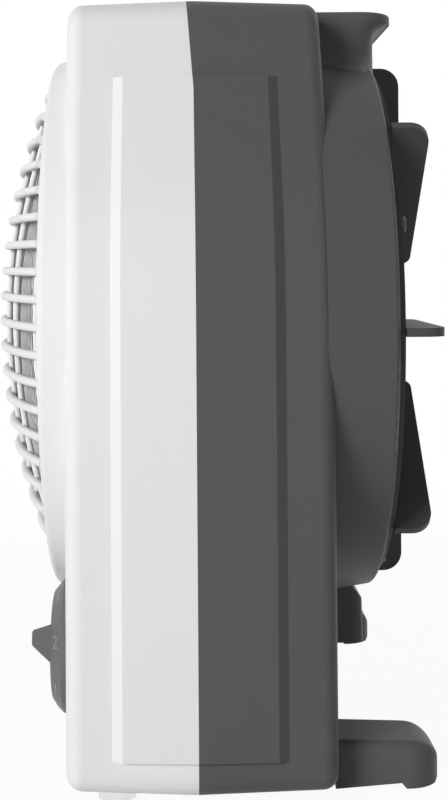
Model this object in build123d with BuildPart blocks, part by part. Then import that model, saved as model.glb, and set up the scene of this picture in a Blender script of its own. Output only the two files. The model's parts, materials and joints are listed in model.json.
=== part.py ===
from build123d import *
from math import asin, cos, hypot, radians, sin, sqrt, tan
import os

os.makedirs("parts", exist_ok=True)

# Upright fan heater. Sizes are in millimetres.
# +Z is up, the warm air leaves towards -Y, and the origin is on the ground below the middle.

# Housing outline, seen from the front, with heights from the fan axle
axle_height = 144.5
arch_radius = 104.0
shoulder_angle = 28.0
side_flare = 1.5
top_rise = 113.5
base_drop = 142.8
top_corner = 15.0
base_corner = 7.0
wall = 2.4
mould_draft = 2.0

# Housing depths, from the parting plane between the two shells
front_reach = 43.8
front_crown = 2.8
front_round = 5.5
rear_reach = 43.5
rear_round = 5.0
parting_step = 2.2
parting_step_rise = 80.0

# Raised side panels, which cross the parting plane
panel_relief = 2.0
panel_bevel = 3.3
panel_front = 26.6
panel_rear = 27.9
panel_top = 84.0
panel_base = 130.5

# Lip that locates one shell in the other
lip_length = 2.4
lip_gap = 0.15

# Outlet rim and domed grille
rim_radius = 101.8
rim_front_radius = 97.6
rim_reach = 50.3
rim_round = 3.0
rim_foot = 35.5
ledge_radius = 84.8
outlet_radius = 88.0
grille_seat = 45.0
grille_reach = 72.4
dome_radius = 198.0
grille_ring = 3.2
grille_gap = 0.2
bar_pitch = 8.58
bar_count = 19
bar_height = 2.9
bar_depth = 3.0
upright_pitch = 25.8
upright_count = 7
upright_width = 2.2
upright_depth = 4.0
upright_sink = 1.3
ring_proud = 0.6

# Motor drum, intake guard and its fins
drum_radius = 102.3
drum_rear_radius = 98.6
drum_reach = 64.3
drum_round = 1.6
intake_radius = 86.0
guard_radius = 94.0
guard_thickness = 2.2
guard_hub = 31.5
guard_rib = 2.4
guard_bands = ((36.0, 59.0, 40), (62.0, 86.0, 56))
guard_screw_circle = 90.0
fin_count = 8
fin_radius = 96.2
fin_reach = 79.5
fin_thickness = 2.8
fin_outer_round = 7.0
fin_inner_round = 3.5

# Carrying lip at the top of the back
lip_half_width = 36.0
lip_reach = 72.5
lip_thickness = 3.4
neck_half_width = 28.0
neck_reach = 64.6
neck_round = 6.0
lip_cove = 6.0

# Cord hood low on the back
hood_half_width = 12.0
hood_top_reach = 63.2
hood_reach = 63.7
hood_base = 121.0
hood_shoulder = 105.0
cord_radius = 3.5
gland_radius = 6.5
gland_flange = 8.0
gland_length = 12.0
gland_flange_thickness = 1.5
gland_floor = 2.5
gland_depth = 52.3

# Feet
foot_inner = 70.0
foot_outer = 93.5
foot_end_round = 11.0
foot_reach = 77.4
foot_rise = 15.2
foot_round = 9.0
foot_edge = 2.5
foot_pad_length = 10.0
foot_arch = 1.8
foot_lead = 14.0
foot_fit = 0.1
foot_tongue_inner = 72.0
foot_tongue_outer = 84.0
foot_tongue_top = 130.5
foot_tongue_base = 135.5
foot_screw_depth = 34.5
foot_pad_rise = 1.5
foot_heel = 0.1
front_foot_inner = 84.0
front_foot_outer = 103.0
front_foot_start = 31.0
front_foot_end = 19.6
front_foot_flat = 4.0

# Knobs and what they turn
knob_spacing = 63.0
knob_drop = 106.5
knob_radius = 22.2
knob_face_radius = 17.8
knob_back = 42.3
knob_edge = 44.3
knob_face = 48.6
knob_crown = 0.6
knob_tip = 53.9
knob_gap = 0.4
knob_wall = 2.0
knob_grip_length = 36.0
knob_grip_base = 12.0
knob_grip_top = 4.7
knob_grip_shift = 1.8
knob_rest_turn = 16.4
knob_seat = 43.4
knob_seat_radius = 15.4
knob_bore_depth = 46.6
knob_shaft_tip = 51.6
shaft_radius = 3.0
shaft_flat = 0.8
running_gap = 0.04
push_gap = 0.02
control_bush = 4.9
control_hole_gap = 0.3
control_width = 30.0
control_depth = 15.0
control_seat = 38.9
control_pad_radius = 12.0
control_bush_tip = 45.4
control_nut_width = 12.0
control_nut_height = 1.9
thermostat_disc = 12.5
tab_width = 6.3
tab_thickness = 0.8
tab_length = 8.0

# Pilot light between the knobs
pilot_drop = 118.0
pilot_radius = 4.0
pilot_reach = 46.2
pilot_flange = 1.2
pilot_lamp_radius = 2.6
pilot_lamp_length = 14.0

# Outlet duct and heater
duct_outer = 84.2
duct_sheet = 0.8
duct_front = 43.4
duct_rear = 13.0
card_thickness = 1.0
card_front = 40.0
card_rear = 18.0
card_tab = 8.0
card_gap = 0.3
card_slot_gap = 0.1
card_tab_reach = 1.2
ribbon_thickness = 0.5
ribbon_height = 7.0
ribbon_front = 33.0
fold_flat = 4.0
inner_ribbon = (24.0, 38.0, 5)
outer_ribbon = (56.0, 76.0, 9)
cutout_radius = 7.5
cutout_height = 6.0
cutout_place = 47.0
fuse_radius = 2.2
fuse_length = 12.0

# Fan and shroud
shroud_inner = 81.8
shroud_rear = 26.0
shroud_flange = 97.0
shroud_flange_thickness = 2.0
fan_radius = 79.5
fan_hub_radius = 17.0
fan_front = 3.0
fan_rear = 19.0
blade_count = 6
blade_thickness = 1.8
blade_root_chord = 21.0
blade_tip_chord = 40.0
blade_root_pitch = 45.0
blade_tip_pitch = 22.0
blade_camber = 4.0
fan_nut_radius = 6.5
fan_nut_height = 4.0

# Motor
stator_front = 32.0
stator_rear = 46.0
stator_half_width = 32.0
stator_top = 19.0
stator_window_top = 17.0
stator_window_base = 37.0
stator_window = 18.0
stator_base = 49.0
rotor_radius = 13.0
air_gap = 0.4
rotor_overhang = 1.0
coil_build = 8.0
coil_gap = 0.3
bobbin_wall = 1.2
motor_screw_radius = 2.0
screw_gap = 0.15
motor_screw_head = 3.8
motor_nut_radius = 4.0
motor_nut_height = 3.0
bracket_sheet = 2.0
bracket_half_height = 11.0
bracket_foot = 10.0
bracket_rise = 4.0
bearing_radius = 6.0
bearing_length = 5.0
bearing_cup = 8.0
motor_shaft_front = 2.0
motor_shaft_rear = 54.5
strap_front = 52.3
strap_sheet = 1.6
strap_half_height = 10.0
strap_hole = 8.6
strap_half_width = 94.5
boss_circle = 93.5
boss_radius = 4.0
strap_boss_circle = 90.0

# Screws
small_screw = 1.5
small_head = 2.7
small_head_height = 1.8
small_screw_length = 9.0
housing_screw = 1.75
housing_head = 3.5
housing_head_height = 2.4
housing_screw_grip = 10.0
column_radius = 5.2
column_top = (51.0, 97.5)
column_base = (93.0, -121.0)

# Wiring
terminal_width = 30.0
terminal_height = 16.0
terminal_front = 24.1
terminal_rear = 36.1
terminal_place = (-32.0, -121.0)
terminal_screw_reach = 16.0
terminal_pad = 11.0
lead_radius = 1.2
lead_bend = 4.0

parting = (grille_reach - fin_reach) / 2
ground = -axle_height
axle = Axis((0, 0, axle_height), (0, 1, 0))
axial_plane = Plane(origin=(0, 0, axle_height), x_dir=(0, 1, 0), z_dir=(1, 0, 0))


def fore(depth):
    """Y of a place in front of the parting plane."""
    return parting - depth


def aft(depth):
    """Y of a place behind the parting plane."""
    return parting + depth


def across(y):
    """Plane square to the axle, seen from the front, with its centre on the axle."""
    return Plane(origin=(0, y, axle_height), x_dir=(1, 0, 0), z_dir=(0, -1, 0))


def turned(*points, mode=Mode.ADD):
    """Turn a closed profile of (y, radius) points round the axle."""
    with BuildSketch(axial_plane) as profile:
        with BuildLine():
            Polyline(*points, close=True)
        make_face()
    revolve(profile.sketch, axis=axle, mode=mode)


def rod(radius, y_front, y_back, places=((0, 0),), mode=Mode.ADD):
    """Round bars along Y at places measured from the axle."""
    with BuildSketch(across(y_back)) as ends:
        with Locations(*places):
            Circle(radius)
    extrude(ends.sketch, amount=y_back - y_front, mode=mode)


def block(x_size, z_size, y_front, y_back, place=(0, 0), round=0.0, mode=Mode.ADD):
    """Bar along Y with a rectangular section centred on place."""
    with BuildSketch(across(y_back)) as end:
        with Locations(place):
            if round:
                RectangleRounded(x_size, z_size, round)
            else:
                Rectangle(x_size, z_size)
    extrude(end.sketch, amount=y_back - y_front, mode=mode)


def side_profile(points, x_low, x_high, mode=Mode.ADD):
    """Bar along X with a closed section of (y, height from the axle) points."""
    with BuildSketch(axial_plane.offset(x_low)) as section:
        with BuildLine():
            Polyline(*points, close=True)
        make_face()
    extrude(section.sketch, amount=x_high - x_low, mode=mode)


def save(piece, name):
    """Label a finished piece and write it."""
    piece.part.label = name
    export_step(piece.part, f"parts/{name}.step")


def outline_sketch(y, grow, facing=1):
    """Face of the housing outline at depth y, moved outwards by grow."""
    lean, flare = radians(shoulder_angle), radians(side_flare)
    arch = arch_radius + grow
    knee_out = arch / cos((lean - flare) / 2)
    knee = (knee_out * cos((lean + flare) / 2), knee_out * sin((lean + flare) / 2))
    top, base = top_rise + grow, base_drop + grow
    shoulder = ((arch - top * sin(lean)) / cos(lean), top)
    heel = ((arch + base * sin(flare)) / cos(flare), -base)
    right = [heel, knee, shoulder]
    left = [(-x, z) for x, z in reversed(right)]
    rounds = [base_corner + grow, arch, top_corner + grow]
    plane = across(y)
    if facing > 0:
        plane = Plane(origin=plane.origin, x_dir=(-1, 0, 0), z_dir=(0, 1, 0))
    with BuildSketch(plane) as face:
        with BuildLine():
            FilletPolyline(*right, *left, radius=rounds + rounds[::-1], close=True)
        make_face()
    return face.sketch


def draft_at(depth):
    """How far the drafted outline has drawn in at a depth from the parting plane."""
    return depth * tan(radians(mould_draft))


def crown_cutter(reach, mode=Mode.SUBTRACT):
    """Take off what lies in front of the crowned front face."""
    span = 1.3 * arch_radius
    drop = front_crown * (span / arch_radius) ** 2
    far = fore(reach + 40)
    with BuildSketch(Plane.XY.offset(-20)) as region:
        with BuildLine():
            crown = ThreePointArc(
                (-span, fore(reach - drop)), (0, fore(reach)), (span, fore(reach - drop))
            )
            Polyline(crown @ 1, (span, far), (-span, far), crown @ 0)
        make_face()
    extrude(region.sketch, amount=axle_height + top_rise + 60, mode=mode)


# Both shells without their openings, as solids that the real shells are cut from
with BuildPart() as front_form:
    extrude(outline_sketch(parting, 0, facing=-1), amount=front_reach + 2, taper=mould_draft)
    crown_cutter(front_reach)
    fillet(faces().sort_by(Axis.Y)[0].edges(), radius=front_round)

with BuildPart() as rear_form:
    extrude(outline_sketch(parting, 0), amount=rear_reach, taper=mould_draft)
    fillet(faces().sort_by(Axis.Y)[-1].edges(), radius=rear_round)

with BuildPart() as front_cavity:
    extrude(outline_sketch(parting, -wall, facing=-1), amount=front_reach, taper=mould_draft)
    crown_cutter(front_reach - wall)

with BuildPart() as rear_cavity:
    extrude(outline_sketch(parting, -wall), amount=rear_reach - wall, taper=mould_draft)

# Raised panel band round the sides, with sloped front and rear edges
with BuildPart() as panel_band:
    for side, reach, facing in ((fore, panel_front, -1), (aft, panel_rear, 1)):
        crest = reach - panel_bevel
        loft(
            [
                outline_sketch(side(0), panel_relief, facing).face(),
                outline_sketch(side(crest), panel_relief - draft_at(crest), facing).face(),
                outline_sketch(side(reach), -draft_at(reach), facing).face(),
            ],
            ruled=True,
        )
    with BuildSketch(across(parting)) as panel_view:
        with Locations((0, (panel_top - panel_base) / 2)):
            Rectangle(4 * arch_radius, panel_top + panel_base)
            Rectangle(arch_radius, panel_top + panel_base, mode=Mode.SUBTRACT)
    extrude(panel_view.sketch, amount=2 * rear_reach, both=True, mode=Mode.INTERSECT)

# The region behind the parting surface, which steps forward over the top
with BuildPart() as rear_region:
    far = 3 * top_rise
    slope = parting_step / (top_rise - parting_step_rise)
    side_profile(
        [
            (aft(0), -far),
            (aft(0), parting_step_rise),
            (fore(slope * (far - parting_step_rise)), far),
            (aft(far), far),
            (aft(far), -far),
        ],
        -far,
        far,
    )

with BuildPart() as whole_form:
    add(front_form.part)
    add(rear_form.part)
    add(panel_band.part)
    add(front_cavity.part, mode=Mode.SUBTRACT)
    add(rear_cavity.part, mode=Mode.SUBTRACT)


def lip_ring(outer, inner, back, mode=Mode.ADD):
    """Ring that follows the housing outline across the parting plane."""
    start = fore(2 * lip_length)
    with BuildPart(mode=Mode.PRIVATE) as ring:
        extrude(outline_sketch(start, -outer), amount=back - start)
        extrude(outline_sketch(start, -inner), amount=back - start, mode=Mode.SUBTRACT)
    add(ring.part, mode=mode)


def mirrored(place):
    """A place and its mirror image across the middle plane."""
    return [place, (-place[0], place[1])]


def polar(radius, count, start=0.0):
    """Places at equal angles on a circle round the axle."""
    angles = [radians(start + 360 * step / count) for step in range(count)]
    return [(radius * cos(angle), radius * sin(angle)) for angle in angles]


def span(side, near, far):
    """X limits of something between two distances from the middle, on one side."""
    return sorted((side * near, side * far))


columns = mirrored(column_top) + mirrored(column_base)
controls = mirrored((knob_spacing, -knob_drop))
shroud_bosses = polar(boss_circle, 4, 45)
guard_bosses = polar(guard_screw_circle, 4, 45 / 2)
strap_bosses = mirrored((strap_boss_circle, 0))
motor_feet = mirrored((stator_half_width - bracket_foot / 2, 0))
heater_lead_angles = (240, 300)
lip_wall = (wall - lip_gap) / 2
duct_seat = duct_rear + duct_sheet


def lead_holes(mode=Mode.SUBTRACT):
    """Holes for the heater leads through the walls round the outlet."""
    depth = (ribbon_front + ribbon_front - ribbon_height) / 2
    for angle in heater_lead_angles:
        start = Plane(
            origin=(0, fore(depth), axle_height),
            x_dir=(0, 1, 0),
            z_dir=(cos(radians(angle)), 0, sin(radians(angle))),
        )
        with BuildSketch(start.offset(duct_outer - 5)) as hole:
            Circle(lead_radius + 1.5)
        extrude(hole.sketch, amount=14, mode=mode)


# White front shell
with BuildPart() as front_housing:
    add(whole_form.part)
    add(rear_region.part, mode=Mode.SUBTRACT)
    lip_ring(wall - lip_wall, wall, aft(lip_length - lip_gap))
    rod(rim_radius - wall, fore(rim_reach), fore(front_reach - 3 * wall), mode=Mode.SUBTRACT)
    with BuildSketch(axial_plane) as rim:
        with BuildLine():
            FilletPolyline(
                (fore(rim_foot), rim_radius),
                (fore(rim_reach), rim_front_radius),
                (fore(rim_reach), outlet_radius),
                (fore(duct_seat), outlet_radius),
                (fore(duct_seat), outlet_radius + wall),
                (fore(rim_reach - wall), outlet_radius + wall),
                (fore(rim_reach - wall), rim_front_radius - wall),
                (fore(rim_foot), rim_radius - wall),
                radius=[0, rim_round, 1, 0, 0, 0, 0, 0],
                close=True,
            )
        make_face()
    revolve(rim.sketch, axis=axle)
    turned(
        (fore(grille_seat), outlet_radius + wall / 2),
        (fore(grille_seat), ledge_radius),
        (fore(grille_seat - wall / 2), ledge_radius),
        (fore(grille_seat - wall), outlet_radius),
        (fore(grille_seat - wall), outlet_radius + wall / 2),
    )
    rod(boss_radius, fore(rim_reach - wall), fore(duct_seat), shroud_bosses)
    for place in columns:
        rod(column_radius, fore(front_reach - front_crown), fore(0), [place])
    well = (fore(rim_reach), fore(knob_back - knob_gap))
    rod(knob_radius + knob_gap, *well, controls, mode=Mode.SUBTRACT)
    for place in controls:
        rod(knob_seat_radius, fore(knob_seat), fore(front_reach - front_crown - wall / 2), [place])
        rod(control_pad_radius, fore(knob_seat), fore(control_seat), [place])
    for side in (1, -1):
        middle = (front_foot_start + front_foot_end) / 2
        side_profile(
            [
                (fore(front_foot_start), wall / 2 - base_drop + foot_pad_rise),
                (fore(front_foot_start), ground + foot_pad_rise),
                (fore(middle + front_foot_flat / 2), ground),
                (fore(middle - front_foot_flat / 2), ground),
                (fore(front_foot_end), ground + foot_pad_rise),
                (fore(front_foot_end), wall / 2 - base_drop + foot_pad_rise),
            ],
            *span(side, front_foot_inner, front_foot_outer),
        )
    shroud_screw_end = fore(duct_seat + small_screw_length)
    rod(small_screw, shroud_screw_end, fore(0), shroud_bosses, mode=Mode.SUBTRACT)
    rod(housing_screw, fore(housing_screw_grip + 1), fore(0), columns, mode=Mode.SUBTRACT)
    rod(control_bush + control_hole_gap, fore(rim_reach), fore(0), controls, mode=Mode.SUBTRACT)
    rod(pilot_radius + running_gap, fore(rim_reach), fore(0), [(0, -pilot_drop)], mode=Mode.SUBTRACT)
    lead_holes()
save(front_housing, "front_housing")


def curved_bars(plane, places, front, thickness, height):
    """Bars that follow the dome, each one standing on its own offset of the plane."""
    for place in places:
        outer = sqrt(dome_radius**2 - place**2)
        centre = fore(front) + dome_radius
        half = grille_radius
        with BuildSketch(plane.offset(place - height / 2)) as bar:
            with BuildLine():
                ends = [centre - sqrt(size**2 - half**2) for size in (outer, outer - thickness)]
                face = ThreePointArc((-half, ends[0]), (0, centre - outer), (half, ends[0]))
                rear = ThreePointArc((-half, ends[1]), (0, centre - outer + thickness), (half, ends[1]))
                Line(face @ 0, rear @ 0)
                Line(face @ 1, rear @ 1)
            make_face()
        extrude(bar.sketch, amount=height)


def steps(pitch, count):
    """Evenly spaced offsets on both sides of the middle."""
    return [pitch * (step - (count - 1) / 2) for step in range(count)]


# Domed outlet grille: level bars in front of thinner upright bars, in one ring
grille_radius = outlet_radius - grille_gap
level_plane = Plane(origin=(0, 0, axle_height), x_dir=(1, 0, 0), z_dir=(0, 0, 1))
upright_plane = Plane(origin=(0, 0, axle_height), x_dir=(0, 0, -1), z_dir=(1, 0, 0))
with BuildPart() as grille_bars:
    upright_front = grille_reach - bar_depth + upright_sink
    curved_bars(level_plane, steps(bar_pitch, bar_count), grille_reach, bar_depth, bar_height)
    curved_bars(
        upright_plane, steps(upright_pitch, upright_count), upright_front, upright_depth, upright_width
    )
    rod(grille_radius - grille_ring / 2, fore(2 * grille_reach), fore(0), mode=Mode.INTERSECT)

with BuildPart() as front_grille:
    with BuildSketch(axial_plane) as ring:
        with BuildLine():
            centre = fore(grille_reach + ring_proud) + dome_radius
            inner = grille_radius - grille_ring
            ends = [centre - sqrt(dome_radius**2 - size**2) for size in (inner, grille_radius)]
            FilletPolyline(
                (ends[0], inner),
                (ends[1], grille_radius),
                (fore(grille_seat), grille_radius),
                (fore(grille_seat), inner),
                radius=[0.8, 0.8, 0, 0],
                close=True,
            )
        make_face()
    revolve(ring.sketch, axis=axle)
    add(grille_bars.part)
save(front_grille, "front_grille")

# Carrying lip with a coved neck under it
lip_top = top_rise - draft_at(rear_reach)
with BuildPart() as carrying_lip:
    with BuildSketch(Plane.XY.offset(axle_height + drum_rear_radius - wall / 2)) as neck:
        with Locations((0, aft((neck_reach + rear_reach - wall) / 2))):
            Rectangle(2 * neck_half_width, neck_reach - rear_reach + wall)
        fillet(neck.vertices().group_by(Axis.Y)[-1], radius=neck_round)
    extrude(neck.sketch, amount=lip_top - lip_thickness - drum_rear_radius + wall / 2)
    with BuildSketch(Plane.XY.offset(axle_height + lip_top - lip_thickness)) as lip:
        with Locations((0, aft((lip_reach + rear_reach - wall) / 2))):
            Rectangle(2 * lip_half_width, lip_reach - rear_reach + wall)
        fillet(lip.vertices().group_by(Axis.Y)[-1], radius=lip_cove + neck_round)
    extrude(lip.sketch, amount=lip_thickness)
    lip_face = axle_height + lip_top
    under_face = lip_face - lip_thickness
    cove_edges = (
        edges()
        .filter_by_position(Axis.Z, under_face - 0.01, under_face + 0.01)
        .filter_by_position(Axis.Y, aft(rear_reach - wall) + 0.1, aft(neck_reach) + 0.1)
        .filter_by(lambda edge: abs(edge.center().X) < neck_half_width + 0.1)
    )
    fillet(cove_edges, radius=lip_cove)
    crest_edges = (
        edges()
        .filter_by_position(Axis.Z, lip_face - 0.01, lip_face + 0.01)
        .filter_by_position(Axis.Y, aft(rear_reach + 1), aft(lip_reach + 1))
    )
    fillet(crest_edges, radius=lip_thickness / 3)
    pocket_top = lip_top - lip_thickness - wall / 2
    block(
        2 * (neck_half_width - wall),
        pocket_top - drum_radius - wall / 2,
        aft(0),
        aft(neck_reach - wall),
        (0, (pocket_top + drum_radius + wall / 2) / 2),
        mode=Mode.SUBTRACT,
    )

# Dark rear shell with the motor drum
with BuildPart() as rear_housing:
    add(whole_form.part)
    add(rear_region.part, mode=Mode.INTERSECT)
    lip_ring(wall - lip_wall - lip_gap, 2 * wall, aft(lip_length), mode=Mode.SUBTRACT)
    add(carrying_lip.part)
    for place in columns:
        rod(column_radius, aft(0), aft(rear_reach - wall / 2), [place])
    side_profile(
        [
            (aft(rear_reach - wall), -hood_base),
            (aft(hood_reach), -hood_base),
            (aft(hood_top_reach), -hood_shoulder),
            (aft(drum_reach - 2 * wall), wall - drum_radius),
            (aft(rear_reach - wall), wall - drum_radius),
        ],
        -hood_half_width,
        hood_half_width,
    )
    fillet(
        edges()
        .filter_by_position(Axis.Y, aft(hood_top_reach) - 1, aft(hood_reach) + 1)
        .filter_by_position(Axis.Z, axle_height - hood_base - 1, axle_height - hood_shoulder + 1)
        .filter_by(lambda edge: abs(abs(edge.center().X) - hood_half_width) < 0.01),
        radius=4,
    )
    with BuildSketch(across(aft(hood_reach - wall))) as hood_inside:
        with Locations((0, (gland_floor - hood_base - drum_radius - wall / 2) / 2)):
            hood_inner_height = hood_base - gland_floor - drum_radius - wall / 2
            Rectangle(2 * (hood_half_width - wall), hood_inner_height)
    extrude(hood_inside.sketch, amount=hood_reach - rear_reach + wall, mode=Mode.SUBTRACT)
    rod(drum_radius - wall, aft(rear_reach - 2 * wall), aft(rear_reach + 1), mode=Mode.SUBTRACT)
    with BuildSketch(axial_plane) as drum:
        with BuildLine():
            FilletPolyline(
                (aft(rear_reach - wall), drum_radius),
                (aft(drum_reach), drum_rear_radius),
                (aft(drum_reach), intake_radius),
                (aft(drum_reach - wall), intake_radius),
                (aft(drum_reach - wall), drum_rear_radius - wall),
                (aft(rear_reach - wall), drum_radius - wall),
                radius=[0, drum_round, 0, 0, 0, 0],
                close=True,
            )
        make_face()
    revolve(drum.sketch, axis=axle)
    rod(boss_radius, aft(drum_reach - 3 * wall), aft(drum_reach - wall), guard_bosses)
    rod(boss_radius, aft(strap_front + strap_sheet), aft(drum_reach - wall), strap_bosses)
    terminal_pads = [(terminal_place[0] + x, terminal_place[1]) for x in (-terminal_pad, terminal_pad)]
    rod(boss_radius, aft(terminal_rear), aft(rear_reach - wall / 2), terminal_pads)
    for side in (1, -1):
        tongue_middle = side * (foot_tongue_inner + foot_tongue_outer) / 2
        floor = base_drop - wall / 2
        block(
            foot_tongue_outer - foot_tongue_inner,
            floor - foot_tongue_base,
            aft(foot_screw_depth - 5),
            aft(foot_screw_depth + 5),
            (tongue_middle, -(floor + foot_tongue_base) / 2),
        )
        block(
            foot_tongue_outer - foot_tongue_inner + 2 * foot_fit,
            foot_tongue_base - foot_tongue_top + foot_fit,
            aft(rear_reach - foot_lead - 1),
            aft(rear_reach + 1),
            (tongue_middle, -(foot_tongue_base + foot_tongue_top - foot_fit) / 2),
            mode=Mode.SUBTRACT,
        )
        with BuildSketch(Plane.XY) as foot_hole:
            with Locations((tongue_middle, aft(foot_screw_depth))):
                Circle(small_screw + screw_gap)
        extrude(foot_hole.sketch, amount=axle_height - foot_tongue_base, mode=Mode.SUBTRACT)
    head_seat = aft(housing_screw_grip)
    rod(housing_head + screw_gap, head_seat, aft(rear_reach + 1), columns, mode=Mode.SUBTRACT)
    rod(housing_screw + screw_gap, aft(-parting_step - 1), head_seat, columns, mode=Mode.SUBTRACT)
    guard_screw_end = aft(drum_reach + guard_thickness - small_screw_length)
    rod(small_screw, guard_screw_end, aft(drum_reach + 1), guard_bosses, mode=Mode.SUBTRACT)
    strap_screw_end = aft(strap_front + small_screw_length)
    rod(small_screw, aft(strap_front), strap_screw_end, strap_bosses, mode=Mode.SUBTRACT)
    terminal_screw_end = aft(terminal_front + terminal_screw_reach)
    rod(small_screw, aft(terminal_front), terminal_screw_end, terminal_pads, mode=Mode.SUBTRACT)
    with BuildSketch(Plane.XY.offset(axle_height - hood_base - 1)) as gland_hole:
        with Locations((0, aft(gland_depth))):
            Circle(gland_radius + 2 * running_gap)
    extrude(gland_hole.sketch, amount=gland_floor + 2, mode=Mode.SUBTRACT)
save(rear_housing, "rear_housing")

# Intake guard, and the standing fins as solids of their own on its back
with BuildPart() as one_fin:
    with BuildSketch(axial_plane) as fin:
        with BuildLine():
            FilletPolyline(
                (aft(drum_reach + guard_thickness), guard_hub),
                (aft(fin_reach), guard_hub),
                (aft(fin_reach), fin_radius),
                (aft(drum_reach + guard_thickness), fin_radius),
                radius=[0, fin_inner_round, fin_outer_round, 0],
                close=True,
            )
        make_face()
    extrude(fin.sketch, amount=fin_thickness / 2, both=True)

with BuildPart() as rear_guard:
    guard_back = aft(drum_reach + guard_thickness)
    rod(guard_radius, aft(drum_reach), guard_back)
    for low, high, count in guard_bands:
        with BuildSketch(across(guard_back)) as band:
            Circle(high)
            Circle(low, mode=Mode.SUBTRACT)
            with PolarLocations((low + high) / 2, count):
                Rectangle(2 * (high - low), guard_rib, mode=Mode.SUBTRACT)
        extrude(band.sketch, amount=guard_thickness, mode=Mode.SUBTRACT)
    rod(small_screw + screw_gap, aft(drum_reach), guard_back, guard_bosses, mode=Mode.SUBTRACT)
fins = [one_fin.part.rotate(axle, step * 360 / fin_count).solid() for step in range(fin_count)]
rear_guard.part = Part(children=[rear_guard.part.solid(), *fins])
save(rear_guard, "rear_guard")

# Rear feet, tongued into the rear shell
for side, name in ((1, "rear_foot_right"), (-1, "rear_foot_left")):
    with BuildPart() as rear_foot:
        with BuildSketch(axial_plane.offset(span(side, foot_inner, foot_outer)[0])) as foot_side:
            with BuildLine():
                FilletPolyline(
                    (aft(rear_reach), ground + foot_rise),
                    (aft(foot_reach), ground + foot_rise - 1),
                    (aft(foot_reach), ground + foot_pad_rise),
                    (aft(foot_reach - foot_pad_rise), ground),
                    (aft(foot_reach - foot_pad_rise - foot_pad_length), ground),
                    (aft(foot_reach - 2 * foot_pad_rise - foot_pad_length), ground + foot_arch),
                    (aft(rear_reach), ground + foot_heel),
                    radius=[0, foot_round, 0, 0, 0, 0, 0],
                    close=True,
                )
            make_face()
        extrude(foot_side.sketch, amount=foot_outer - foot_inner)
        with BuildSketch(Plane.XY) as foot_plan:
            foot_middle = side * (foot_inner + foot_outer) / 2
            with Locations((foot_middle, aft((foot_reach + rear_reach) / 2))):
                Rectangle(foot_outer - foot_inner, foot_reach - rear_reach)
            fillet(foot_plan.vertices().group_by(Axis.Y)[-1], radius=foot_end_round)
        extrude(foot_plan.sketch, amount=foot_rise, mode=Mode.INTERSECT)
        top_edges = edges().filter_by_position(Axis.Z, foot_pad_rise + 1, 2 * foot_rise)
        top_edges = top_edges.filter_by_position(Axis.Y, aft(rear_reach + 1), aft(2 * foot_reach))
        top_edges = top_edges.filter_by(Axis.Z, reverse=True)
        top_edges = top_edges.filter_by(lambda edge: abs(edge.center().X - foot_middle) > 1)
        fillet(top_edges, radius=foot_edge)
        tongue_middle = side * (foot_tongue_inner + foot_tongue_outer) / 2
        block(
            foot_tongue_outer - foot_tongue_inner,
            foot_tongue_base - foot_tongue_top,
            aft(rear_reach - foot_lead),
            aft(rear_reach + 1),
            (tongue_middle, -(foot_tongue_base + foot_tongue_top) / 2),
        )
        with BuildSketch(Plane.XY) as foot_hole:
            with Locations((tongue_middle, aft(foot_screw_depth))):
                Circle(small_screw)
        extrude(foot_hole.sketch, amount=axle_height - foot_tongue_top, mode=Mode.SUBTRACT)
    save(rear_foot, name)

# Sheet-metal outlet duct with a flange behind
duct_inner = duct_outer - duct_sheet
with BuildPart() as outlet_duct:
    turned(
        (fore(duct_front), duct_inner),
        (fore(duct_front), duct_outer),
        (fore(duct_seat), duct_outer),
        (fore(duct_seat), shroud_flange),
        (fore(duct_rear), shroud_flange),
        (fore(duct_rear), duct_inner),
    )
    tab_middle = (card_front + card_rear) / 2
    for x_size, z_size in ((3 * duct_outer, 1), (1, 3 * duct_outer)):
        slot = card_thickness + 2 * card_slot_gap
        block(
            x_size if x_size > 1 else slot,
            z_size if z_size > 1 else slot,
            fore(tab_middle + card_tab / 2 + card_slot_gap),
            fore(tab_middle - card_tab / 2 - card_slot_gap),
            mode=Mode.SUBTRACT,
        )
    lead_holes()
    rod(small_screw + screw_gap, fore(duct_seat), fore(duct_rear), shroud_bosses, mode=Mode.SUBTRACT)
save(outlet_duct, "outlet_duct")


def ribbon_bands(grow):
    """Ring sketches that each heating ribbon fills, grown for clearance."""
    return [
        (inner_ribbon[1] - ribbon_thickness / 2 - grow, inner_ribbon[1] + ribbon_thickness / 2 + grow),
        (outer_ribbon[1] - ribbon_thickness / 2 - grow, outer_ribbon[1] + ribbon_thickness / 2 + grow),
    ]


# Crossed mica cards, half-lapped, with slots that the ribbons stand in
ribbon_rear = ribbon_front - ribbon_height
for name, turn in (("heater_card_level", 0), ("heater_card_upright", 90)):
    with BuildPart() as heater_card:
        width = 2 * (duct_inner - card_gap)
        block(width, card_thickness, fore(card_front), fore(card_rear))
        block(
            2 * (duct_outer + card_tab_reach),
            card_thickness,
            fore(tab_middle + card_tab / 2),
            fore(tab_middle - card_tab / 2),
        )
        lap = (fore(card_front + 1), fore(tab_middle)) if turn else (fore(tab_middle), fore(card_rear - 1))
        block(card_thickness + 2 * card_slot_gap, 2 * card_thickness, *lap, mode=Mode.SUBTRACT)
        for low, high in ribbon_bands(card_slot_gap):
            for side in (1, -1):
                slot_place = (side * (low + high) / 2, 0)
                block(
                    high - low,
                    2 * card_thickness,
                    fore(card_front + 1),
                    fore(ribbon_rear),
                    slot_place,
                    mode=Mode.SUBTRACT,
                )
    heater_card.part = heater_card.part.rotate(axle, turn)
    save(heater_card, name)


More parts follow.
